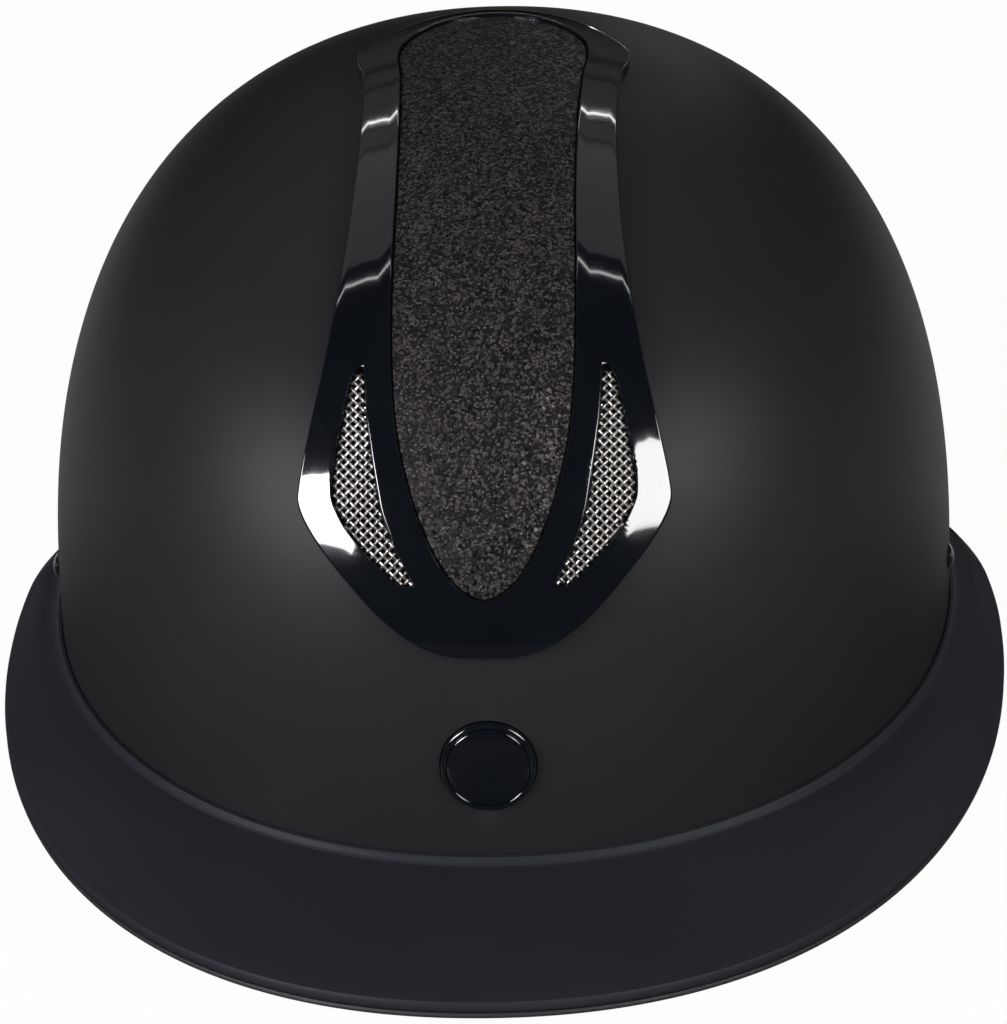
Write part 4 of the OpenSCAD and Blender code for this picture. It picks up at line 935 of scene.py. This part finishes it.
def wire(slant, number, side):
    """One wire as small rings. slant is 1 or -1, number counts the wires."""
    beside, path = number * WIRE_PITCH, []
    for k in range(-90, 91):
        along = k * WIRE_PITCH / 4
        x = MIDDLE_X + (along + slant * beside) * sqrt(0.5)
        v = MIDDLE_V + (slant * along - beside) * sqrt(0.5)
        if inside_vent(x, v):
            path.append((x, v, MESH_OFF + WAVE * slant * cos(pi * (along / WIRE_PITCH + number))))
        elif path:
            break
    if len(path) < 3:
        return None
    sideways = Vector((1, -slant)).normalized()
    sides = [(WIRE_R * cos(a), WIRE_R * sin(a)) for a in (2 * pi * k / 5 for k in range(5))]
    return loft("wire", [[on_skin(side * (x + sideways.x * c), v + sideways.y * c, off + h) for c, h in sides]
        for x, v, off in path])


def joined(pieces, name):
    """Makes one piece of many small ones."""
    choose(pieces[0])
    for piece in pieces:
        piece.select_set(True)
    bpy.ops.object.join()
    whole = bpy.context.object
    whole.name = whole.data.name = name
    print(name, "is made of", len(pieces))
    return whole


def wire_cloth(name, side, node):
    wires = [w for slant in (1, -1) for n in range(-30, 31) if (w := wire(slant, n, side))]
    hand_over(joined(wires, name), "mesh_silver", node, angle=80)


wire_cloth("wire_cloth_left", 1, "vent_mesh_left")
wire_cloth("wire_cloth_right", -1, "vent_mesh_right")

# %% [markdown]
# The insert is a crowned plate with a fine rounded edge, a quarter of a millimetre clear of
# the frame. A filled outline would be flat, so rings of it, drawn in towards one point, close
# it above and below.

# %% Sparkle insert
plate = inset(insert_loop, GAP)
centre = Vector((0, 140))


def plate_ring(share, off, crown):
    ring = []
    for p in plate:
        q = centre.lerp(p, share)
        bulge = crown * (1 - min(1, abs(q.x) / 20) ** 2) * min(1, (1 - share) * 8 + 0.02)
        ring.append(on_skin(q.x, q.y, off + bulge))
    return ring


top = PANEL_H - DROP
rows = [plate_ring(share, FIT_GAP, 0) for share in (0, 0.5, 1)]
rows += [plate_ring(1, top - 0.35, 0), plate_ring(0.997, top - 0.1, 0)]
rows += [plate_ring(share, top, 0.4)
    for share in (0.985, 0.96, 0.92, 0.86, 0.78, 0.69, 0.6, 0.5, 0.4, 0.3, 0.2, 0.1, 0)]
hand_over(loft("sparkle_plate", rows, fill=False), "sparkle_charcoal", "glitter_insert")

# %% [markdown]
# ## Pads
# Comfort pads are foam in knitted covers, stitched through along channels so that they bend
# to the head. A cloth simulation could puff them, but they are only five millimetres thick
# and glued to the foam, so their swelling is laid out directly, full between the seams and
# thin at them, and stays clear of the straps beside them.

# %% Swelling between seams
def dip(distance, width):
    """1 away from a seam, falling softly to 0 on it."""
    return 1 - exp(-(distance / width) ** 2)


def rounded(depth, width):
    """0 at an edge, rising in a quarter circle to 1 at a width from it."""
    return sqrt(max(0, 1 - (1 - min(1, depth / width)) ** 2))


SECTORS, CROWN_HEM, CROWN_SEAM, ROUND_STEPS = 8, 0.16, 0.55, 128


def crown_swell(u, t):
    sector = 360 / SECTORS
    away = abs((u / sector + 0.5) % 1 - 0.5) * sector
    seam = min(dip(away * (1 - t) * 1.1, 3.0) if t < 0.97 else 1, dip((t - CROWN_SEAM) * 60, 3.0))
    return rounded(t, CROWN_HEM) * (0.62 + 0.38 * seam)


def on_crown_pad(u, t, swell, face, sunk=0):
    off = mix(PAD_OUT - 2.2, face, swell) - sunk
    return u, mix(rise_at(drawn(skin(0, 54, PAD_OUT)).z, off), 90, t), off


def crown_row(t, inner):
    turns = [360 * k / ROUND_STEPS for k in range(ROUND_STEPS)]
    if inner:
        return [skin(*on_crown_pad(u, t, crown_swell(u, t), PAD_IN)) for u in turns]
    return [skin(*on_crown_pad(u, t, rounded(t, CROWN_HEM), PAD_OUT)) for u in turns]


def crown_uv(i, j):
    point = drawn(crown_pad_rows[min(i, len(crown_pad_rows) - 1)][j % ROUND_STEPS])
    return point.x / 1000, point.y / 1000


UP = [0, 0.01, 0.03, 0.06, 0.1, 0.16, 0.22, 0.3, 0.38, 0.44, 0.48, 0.51, 0.53, 0.55, 0.57, 0.6, 0.64, 0.7, 0.77,
    0.85, 0.92, 0.97, 1]
crown_pad_rows = [crown_row(t, False) for t in UP[::-1]] + [crown_row(t, True) for t in UP[1:]]
crown = loft("crown_cushion", crown_pad_rows, fill=False, uv=crown_uv)
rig.padded(hand_over(crown, "pad_cloth", "crown_pad", angle=60), fill=0.6)

# %% Headband cushion
BAND_H, BAND_BASE, BAND_TURN, SECTOR_A, BAND_STEPS = 34, 2, 92, 23, 14


def headband_row(u, end):
    away = abs(((u + 90) / SECTOR_A + 0.5) % 1 - 0.5) * SECTOR_A * 1.5
    fullness = 0.6 + 0.4 * dip(away, 3.2)

    def at(share, full):
        z = rim_z(u) + BAND_BASE + BAND_H * share
        hem = rounded(min(share, 1 - share), 0.14) * end
        return at_height(u, z, mix(PAD_OUT - 1.2, PAD_IN, hem * fullness) if full else PAD_OUT - 1.2 + 1.2 * hem)
    across = [0.5 - 0.5 * cos(pi * i / BAND_STEPS) for i in range(BAND_STEPS + 1)]
    return [at(s, True) for s in across] + [at(s, False) for s in across[-2:0:-1]]


TURNS = [-90 + BAND_TURN * i / 110 for i in range(-110, 111)]
ends = [rounded((BAND_TURN - abs(u + 90)) / 4 + 0.02, 1) for u in TURNS]
headband = loft("headband_cushion", [headband_row(u, end) for u, end in zip(TURNS, ends)],
    uv=lambda i, j: (i * 0.00135, min(j, 2 * BAND_STEPS - j) * 0.0025))
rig.padded(hand_over(headband, "pad_cloth", "headband_pad", angle=60), fill=0.6)

# %% Nape cushion
BAND_Y, BAND_Z = 26, -4
NAPE_REACH, NAPE_R, NAPE_RISE = 23.6, 72.55, (-10, 14)


def on_band(angle, radius, z):
    """A point of the fit band, at an angle round from the nape."""
    a = radians(angle)
    return seat(-radius * sin(a), BAND_Y + radius * cos(a), BAND_Z + z)


def nape_row(angle):
    end = rounded(NAPE_REACH + 0.4 - abs(angle), 3)
    fullness = 0.6 + 0.4 * dip(min(abs(angle - seam) for seam in (-8, 8)) * 1.27, 2.4)
    row = [on_band(angle, NAPE_R - 4.7 * rounded(min(s, 1 - s), 0.2) * end * fullness, mix(*NAPE_RISE, s))
        for s in shares(16)]
    return row + [on_band(angle, NAPE_R, mix(*NAPE_RISE, s)) for s in shares(8)[-2:0:-1]]


nape = loft("nape_cushion", [nape_row(mix(-NAPE_REACH, NAPE_REACH, share)) for share in shares(60)],
    uv=lambda i, j: (i * 0.00099, min(j, 40 - j) * 0.0015))
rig.padded(hand_over(nape, "pad_cloth", "nape_pad", angle=60), fill=0.6)

# %% [markdown]
# ## Harness
# Each leg of the harness is flat webbing, held by a rivet outside the foam, turned under its
# edge and led up to a divider beside the ear. A cloth simulation would crumple so narrow a
# strip, so the tape is laid on its path, with rounded selvedges.

# %% Tape along a path on the dome
WEB_W, WEB_T = 16, 1.4
WEB_OFF, WEB_SEAT, PLATE_OFF, CHIN_OFF = -32.2, -4.3, -34.3, -34.9
DIVIDER_Z, CHIN_Y = 0.237 * DOME_H, 7
paths = {}


def tape(name, middles, sides):
    """Webbing from its centre line and its sideways directions, in metres."""
    lengths = [0.0]
    for a, b in zip(middles, middles[1:]):
        lengths.append(lengths[-1] + (b - a).length)
    paths[name] = middles, sides, lengths
    across = [-1, -0.94, -0.8, -0.5, 0, 0.5, 0.8, 0.94, 1]
    half = [WEB_T / 2000 * sqrt(max(0.12, 1 - a ** 8)) for a in across]
    sections = []
    for m, s, before, after in zip(middles, sides, middles[:1] + middles, middles[1:] + middles[-1:]):
        up = s.cross(after - before).normalized()
        pairs = [(m + s * (a * WEB_W / 2000), up * h) for a, h in zip(across, half)]
        sections.append([p + h for p, h in pairs] + [p - h for p, h in pairs[::-1]])

    def uv(i, j):
        return (across[min(j % 18, 17 - j % 18)] + 1) * WEB_W / 2000, lengths[min(i, len(lengths) - 1)]
    return loft(name, sections, uv=uv)


def harness_leg(name, u, u_top, hand, node):
    low, bend = max(rim_z(u) - 0.4, REST_Z + WEB_T + 0.5) - WEB_T / 2, 1.6
    path = [(u, 14.4, WEB_SEAT), (u, (7.4 + low) / 2, WEB_SEAT), (u, low + bend, WEB_SEAT),
        (u, low + 0.3, WEB_SEAT - 0.7), (u, low, WEB_SEAT - bend), (u, low, WEB_OFF + bend),
        (u, low + 0.3, WEB_OFF + 0.6), (u, low + bend, WEB_OFF), (mix(u, u_top, 0.35), -2, WEB_OFF),
        (mix(u, u_top, 0.7), DIVIDER_Z - 20, WEB_OFF), (u_top, DIVIDER_Z - 15.5, WEB_OFF),
        (u_top, DIVIDER_Z - 13, PLATE_OFF), (u_top, DIVIDER_Z - 7.5, PLATE_OFF)]
    fine = through([Vector(p) for p in path], 4)
    flip = Matrix.Diagonal((hand, 1, 1))
    sides = [flip @ (at_height(p.x + 1, p.y, p.z) - at_height(p.x - 1, p.y, p.z)).normalized() for p in fine]
    hand_over(tape(name, [flip @ at_height(*p) for p in fine], sides), "webbing_black", node)


for hand, side in ((1, "left"), (-1, "right")):
    harness_leg("front_leg_" + side, -8.7, -2.5, hand, "strap_front_" + side)
    harness_leg("rear_leg_" + side, 43, 11, hand, "strap_rear_" + side)

# %% [markdown]
# The chin strap is tucked up in an arch over the head opening. Its tapes lie in one upright
# plane, and each is folded back round the bar of its buckle half and sewn to itself. A curve
# with a bevel could bend so too, but laid points keep the fold clear of the bar.

# %% The strap's arch
BUCKLE_Q, HALF_BUCKLE, LOOP_OUT = 40, 14, 1.7
BAR_L, BAR_T = 2.4, 2.4


def over(q, off):
    """A point of the arch, q degrees round from the wearer's left."""
    point = drawn(skin(0, min(q, 180 - q), off))
    return Vector((point.x if q < 90 else -point.x, point.z))


def arch_frame(q):
    """At q: place, direction along the strap, direction away from the head."""
    step = (over(q + 0.5, CHIN_OFF) - over(q - 0.5, CHIN_OFF)).normalized()
    return over(q, CHIN_OFF), step, Vector((-step.y, step.x))


def arch_tape(name, line):
    """Tape along points (x, z) of the strap's plane."""
    return tape(name, [seat(p.x, CHIN_Y, p.y) for p in line], [Vector((0, 1, 0))] * len(line))


origin, along, out = arch_frame(BUCKLE_Q)
reach_q = 1 / (over(BUCKLE_Q + 0.5, CHIN_OFF) - over(BUCKLE_Q - 0.5, CHIN_OFF)).length
loop_q = (HALF_BUCKLE + LOOP_OUT - 0.5) * reach_q


def fold(sign):
    """The tape's centre line round a buckle's bar: in over it, round it and back."""
    gap = FIT_GAP + WEB_T / 2
    x0, x1, h = HALF_BUCKLE + gap, HALF_BUCKLE - BAR_L - gap, BAR_T / 2 + gap
    loop = [(x0 + 4.5, h * 0.86), (x0, h), ((x0 + x1) / 2, h), (x1 + 0.35, h - 0.2), (x1, h - 0.8), (x1, 0),
        (x1, 0.8 - h), (x1 + 0.35, 0.2 - h), ((x0 + x1) / 2, -h), (x0 - 0.3, -h), (x0 + 0.2, 0.8 - h)]
    return [origin + along * (sign * x) + out * y for x, y in loop]


strap_end_q = rise_at(DIVIDER_Z + 8, WEB_OFF)
line = [over(mix(strap_end_q, BUCKLE_Q - loop_q, s), mix(PLATE_OFF, CHIN_OFF + 0.9, smooth(s * 1.6)))
    for s in (0, 0.15, 0.3, 0.45, 0.6, 0.8)]
hand_over(arch_tape("short_strap", through(line + fold(-1), 4)), "webbing_black", "chin_strap_short")

# %% Loop on the tongue half, and the long strap
tail = [over(BUCKLE_Q + loop_q + s * 7 * reach_q, CHIN_OFF + (1 - s) * 0.9) for s in (1, 0.6, 0.3)]
loop_piece = arch_tape("tongue_tape", through(tail + fold(1), 4))
hand_over(loop_piece, "webbing_black", "tongue_loop", body=None)
long_start = BUCKLE_Q + loop_q + 7.4 * reach_q
line = [over(mix(long_start, 180 - strap_end_q, s), mix(CHIN_OFF, PLATE_OFF, smooth((s - 0.85) / 0.13)))
    for s in shares(60)]
hand_over(arch_tape("long_strap", line), "webbing_black", "chin_strap_long")

# %% Sleeve of padding on the chin strap
def sleeve_ring(s, half_w, half_t, square_w=0.5, square_t=0.7):
    """A rounded box across the strap, at a share of the sleeve's length."""
    place, _, away = arch_frame(76 + 28 * s)
    ring = []
    for k in range(40):
        a = 2 * pi * k / 40
        p = place + away * (half_t * power(sin(a), square_t))
        ring.append(seat(p.x, CHIN_Y + half_w * power(cos(a), square_w), p.y))
    return ring


def full(s):
    return (1 - (2 * s - 1) ** 8) * (0.86 + 0.14 * dip((s - 0.5) * 60, 3))


rings = [sleeve_ring(s, (WEB_W + 8) / 2 * (0.9 + 0.1 * full(s)), 4.5 * (0.35 + 0.65 * full(s)))
    for s in shares(40)]
rings += [sleeve_ring(s, (WEB_W + 0.8) / 2, (WEB_T + 1) / 2, 0.3, 0.3) for s in shares(40)[::-4]]
sleeve = loft("chin_cushion", rings, ring=True, uv=lambda i, j: (j * 0.0014, i * 0.001))
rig.padded(hand_over(sleeve, "pad_cloth", "chin_pad", angle=60), fill=0.6)

# %% [markdown]
# ## Stitches
# Webbing is sewn in a box where it meets its fitting, and a pad shows thread along its seams.
# Drawn thread would look flat, so one stitch is modelled, a short bar with bevelled edges, and
# copied along each line, pressed a little into the cloth.

# %% One stitch and its lines
stitch = added(bpy.ops.mesh.primitive_cube_add, "stitch", size=1)
bpy.ops.object.mode_set(mode="EDIT")
bpy.ops.transform.resize(value=(0.0019, 0.00055, 0.00045))
bpy.ops.mesh.bevel(offset=0.00016, segments=1)
bpy.ops.object.mode_set(mode="OBJECT")


def thread(name, lines, body="helmet"):
    """Lines are lists of (place, direction, normal), one for each stitch."""
    copies = []
    for place, along, normal in sum(lines, []):
        along, side = along.normalized(), normal.cross(along).normalized()
        pose = Matrix((along, side, along.cross(side))).transposed().to_4x4()
        pose.translation = place
        one = stitch.copy()
        one.data = stitch.data.copy()
        one.data.transform(pose)
        bpy.context.collection.objects.link(one)
        copies.append(one)
    return hand_over(joined(copies, name), "webbing_black", body=body)

# %% Thread of the crown cushion
def sewn_on(place_at, start, end, count):
    """Stitches along a line; place_at(t) gives a place and a normal."""
    line = []
    for i in range(count):
        t = mix(start, end, (i + 0.5) / count)
        (a, _), (b, _) = place_at(t - 0.002), place_at(t + 0.002)
        place, normal = place_at(t)
        line.append((place, (b - a).normalized(), normal))
    return line


def sewn_in(u, t):
    u, rise, off = on_crown_pad(u, t, crown_swell(u, t), PAD_IN, 0.1)
    return skin(u, rise, off), -skin_normal(u, min(rise, 89))


lines = [sewn_on(lambda t: sewn_in(360 * t, CROWN_SEAM), 0, 1, 60)]
for k in range(SECTORS):
    lines.append(sewn_on(lambda t, u=45 * k + 22.5: sewn_in(u, t), 0.17, 0.5, 8))
thread("crown_thread", lines)

# %% Boxes of stitches on the webbing
HEAD = seat(0, 20, 20)


def along_tape(name, d):
    """Place, direction, side and inner normal, d millimetres from a tape's start, or end if below 0."""
    middles, sides, lengths = paths[name]
    d = d / 1000 if d >= 0 else lengths[-1] + d / 1000
    n = next((k for k, end in enumerate(lengths[1:]) if end >= d), len(middles) - 2)
    step, side = middles[n + 1] - middles[n], sides[n]
    place = middles[n] + step * min(1, (d - lengths[n]) / step.length)
    normal = side.cross(step).normalized()
    return place, step.normalized(), side, normal if normal.dot(HEAD - place) > 0 else -normal


def sewn_box(name, start, end):
    """A box with a cross in it, as stitches on the inner face of a tape."""
    half, pitch = 5.2, 2.6
    corners = [(start, -half), (end, -half), (end, half), (start, half)]
    line = []
    for (d0, a0), (d1, a1) in [*zip(corners, corners[1:] + corners[:1]), corners[::2], corners[1::2]]:
        count = max(2, round(hypot(d1 - d0, a1 - a0) / pitch))
        for i in range(count):
            t = (i + 0.5) / count
            place, ahead, side, normal = along_tape(name, mix(d0, d1, t))
            line.append((place + side * (mix(a0, a1, t) / 1000) + normal * (WEB_T / 2000),
                ahead * (d1 - d0) + side * (a1 - a0), normal))
    return line


def box_at(name, station, back):
    """A box that ends a millimetre past a station of a tape."""
    near = paths[name][2][station] * 1000
    return sewn_box(name, near - back, near + 1)


legs = [sewn_box(f"{end}_leg_{side}", -26, -15) for end in ("front", "rear") for side in ("left", "right")]
thread("harness_thread", legs + [box_at("short_strap", 24, 7)])
tongue_thread = thread("tongue_thread", [box_at("tongue_tape", 12, 6)], body=None)

# %% The loop bends between the strap and the tongue
by_bar = origin + along * (HALF_BUCKLE + 0.8)
for piece in (loop_piece, tongue_thread):
    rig.blend(piece, "helmet", "buckle_half",
        start=seat(tail[0].x, CHIN_Y, tail[0].y), end=seat(by_bar.x, CHIN_Y, by_bar.y))

# %% [markdown]
# ## Solids that stay
# Rivets, washers, foam liner, arms, dial, dividers and buckle halves are hard, and the frame
# has their exact shape. Modelled again they could only get worse, so they take a finish.

# %% Finish the solids of the frame
for node in frame["nodes"].values():
    given = [m.name.split(".")[0] for m in node.data.materials if m]
    for slot in node.material_slots:
        slot.material = finishes[given[0] if given else "nylon_black"]
bpy.data.objects.remove(stitch)
print("solids shown:", sorted(n for n, o in frame["nodes"].items() if not o.hide_render))

# %% [markdown]
# ## Table, lamps and camera
# The photograph is taken from 26 degrees above, through a long lens, on a white sweep. Lamps
# that lit a floor to white would burn out the helmet, so it is plain matt where light is
# gathered and glows white to the camera and in reflections. Right under the helmet, where
# the vents would show it, it stays darker.

# %% Floor and surroundings
def seen(paint):
    """1 for the camera, mirrors and glass, 0 where light is gathered."""
    camera, mirror, glass = (paint.node("ShaderNodeLightPath", out=f"Is {kind} Ray")
        for kind in ("Camera", "Glossy", "Transmission"))
    return (camera + mirror + glass).clamp()


def glowing(paint, strength):
    return paint.node("ShaderNodeEmission", None, Color=(1, 1, 1), Strength=strength)


floor = added(bpy.ops.mesh.primitive_plane_add, "floor", size=8)
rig.stage(floor)
paint = Paint("floor")
matt = paint.node("ShaderNodeBsdfDiffuse", None, Color=(0.78, 0.78, 0.78))
x, y, _ = paint.split(paint.where)
x, y = x / 0.09, (y - 0.035) / 0.125
around = (x * x + y * y - 0.8) * 3
white = seen(paint) * 0.967 * around.clamp()
both = paint.node("ShaderNodeMixShader", None, white, matt, glowing(paint, 1.0))
floor.data.materials.append(paint.show(both))

world = bpy.context.scene.world = bpy.data.worlds.new("studio")
air = Paint("studio", world)
looks = seen(air)
_, y, z = air.split(air.node("ShaderNodeTexCoord", out="Generated"))
fore = (0 - y * 1.1 - z * 0.9).clamp()
strength = looks + (1 - looks) * (0.04 + fore * 2.6)
air.show(air.node("ShaderNodeBackground", None, Color=(1, 1, 1), Strength=strength), "World")

# %% [markdown]
# Two soft boxes to the left and right give the two white patches on the frame's corners. One
# big lamp would light the helmet too, but would cover the whole frame. Three narrow slits
# above and behind draw the fine lines across its strips.

# %% Lamps
def soft_box(name, place, target, wide, high, power_w, colour=(1, 1, 1)):
    box = added(bpy.ops.object.light_add, name, type="AREA", location=place)
    box.data.shape, box.data.color = "RECTANGLE", colour
    box.data.size, box.data.size_y, box.data.energy = wide, high, power_w
    box.rotation_euler = (Vector(target) - Vector(place)).to_track_quat("-Z", "Y").to_euler()


soft_box("left_box", (-1.27, -0.95, 0.685), (-0.04, -0.08, 0.06), 1.06, 0.39, 28, (0.97, 0.95, 1.0))
soft_box("right_box", (1.22, -0.9, 0.86), (0.04, -0.08, 0.06), 1.12, 0.56, 20)
soft_box("overhead_slit", (0, 0.24, 2.05), (0, 0, 0.12), 2.6, 0.03, 1.1)
soft_box("rear_slit", (0, 2.4, 1.75), (0, 0, 0.14), 1.8, 0.035, 1.3)
soft_box("low_slit", (0.4, 2.4, 0.47), (0, 0, 0.14), 0.5, 0.03, 0.5)

# %% [markdown]
# A gloss surface shows whatever stands round it. A picture of a room could be the world, but
# cards are simpler to place: black in front and above, dark grey at the sides and paler
# behind, which the frame's strips pick up as grey. One more covers the sweep: behind the
# helmet a third of its white comes through, in front and far out none. Cards show only in
# reflections.

# %% Plain cards
UPRIGHT, ROOM = pi / 2, 2.7
WIDE = 2 * ROOM


def card(name, high, place, turn, paint, shade):
    made = added(bpy.ops.mesh.primitive_plane_add, name, size=1, location=place, rotation=turn)
    made.scale = WIDE, high, 1
    made.visible_camera = made.visible_diffuse = made.visible_shadow = made.visible_transmission = False
    made.data.materials.append(paint.show(shade))
    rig.stage(made)


for name, high, place, turn, strength in (
        ("front_card", ROOM, (0, -ROOM, ROOM / 2), (UPRIGHT, 0, 0), 0.004),
        ("left_card", ROOM, (-ROOM, 0, ROOM / 2), (UPRIGHT, 0, UPRIGHT), 0.03),
        ("right_card", ROOM, (ROOM, 0, ROOM / 2), (UPRIGHT, 0, UPRIGHT), 0.03),
        ("top_card", ROOM + 0.6, (0, 0.3 - ROOM / 2, ROOM), (0, 0, 0), 0.01),
        ("rear_top_card", ROOM - 0.6, (0, 0.3 + ROOM / 2, ROOM), (0, 0, 0), 0.23)):
    paint = Paint(name)
    card(name, high, place, turn, paint, glowing(paint, strength))

# %% The card behind, with faint ribs that show as bands across the strips
RIBS = [(0.16, 0.006), (0.31, 0.045), (0.39, 0.062), (0.405, 0.03), (0.42, 0.03), (0.435, 0.066), (0.485, 0.07),
    (0.495, 0.036), (0.51, 0.036), (0.52, 0.08), (0.7, 0.1), (0.75, 0.12), (0.765, 0.065), (0.785, 0.065),
    (0.8, 0.13), (0.92, 0.15), (0.935, 0.09), (0.955, 0.09), (0.97, 0.17)]
paint = Paint("back_card")
_, up, _ = paint.split(paint.where)
pale = paint.node("ShaderNodeValToRGB", None, up + 0.5)
stops = pale.socket.node.color_ramp.elements
for n, (height, grey) in enumerate(RIBS):
    stop = stops[n] if n < 2 else stops.new(height)
    stop.position, stop.color = height, (grey, grey, grey, 1)
card("back_card", ROOM, (0, ROOM, ROOM / 2), (UPRIGHT, 0, 0), paint, glowing(paint, pale))

# %% The card over the sweep
paint = Paint("sweep_card")
x, y, _ = paint.split(paint.where)
x, y = x * WIDE, y * WIDE
far = x.math("MAXIMUM", (0.09 - y) * 14, (x * x + y * y - 0.8) * 4)
clear = paint.node("ShaderNodeBsdfTransparent")
card("sweep_card", WIDE, (0, 0, 0.0005), (0, 0, 0), paint,
    paint.node("ShaderNodeMixShader", None, 0.67 + 0.33 * far.clamp(), clear, glowing(paint, 0.03)))

# %% Camera
FOCAL_PX, FRAME_PX, SENSOR = 4970.78, 1024, 36
camera = added(bpy.ops.object.camera_add, "Camera", location=seat(42.205, -1075.62, 540.317))
right, up, back = (0.99931, 0.02683, -0.02550), (0.01100, 0.44253, 0.89669), (0.03534, -0.89635, 0.44193)
camera.rotation_euler = Matrix((right, up, back)).transposed().to_euler()
camera.data.sensor_width, camera.data.lens = SENSOR, FOCAL_PX * SENSOR / FRAME_PX
camera.data.clip_start, camera.data.clip_end = 0.05, 30
bpy.context.scene.camera = camera
bpy.context.scene.view_settings.view_transform = "Standard"

# %% Sizes, for comparison with the frame
json.dump({"cad": cad_box, "visual": [list(corner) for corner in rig.bounds()]}, open("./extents.json", "w"))
print(open("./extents.json").read())
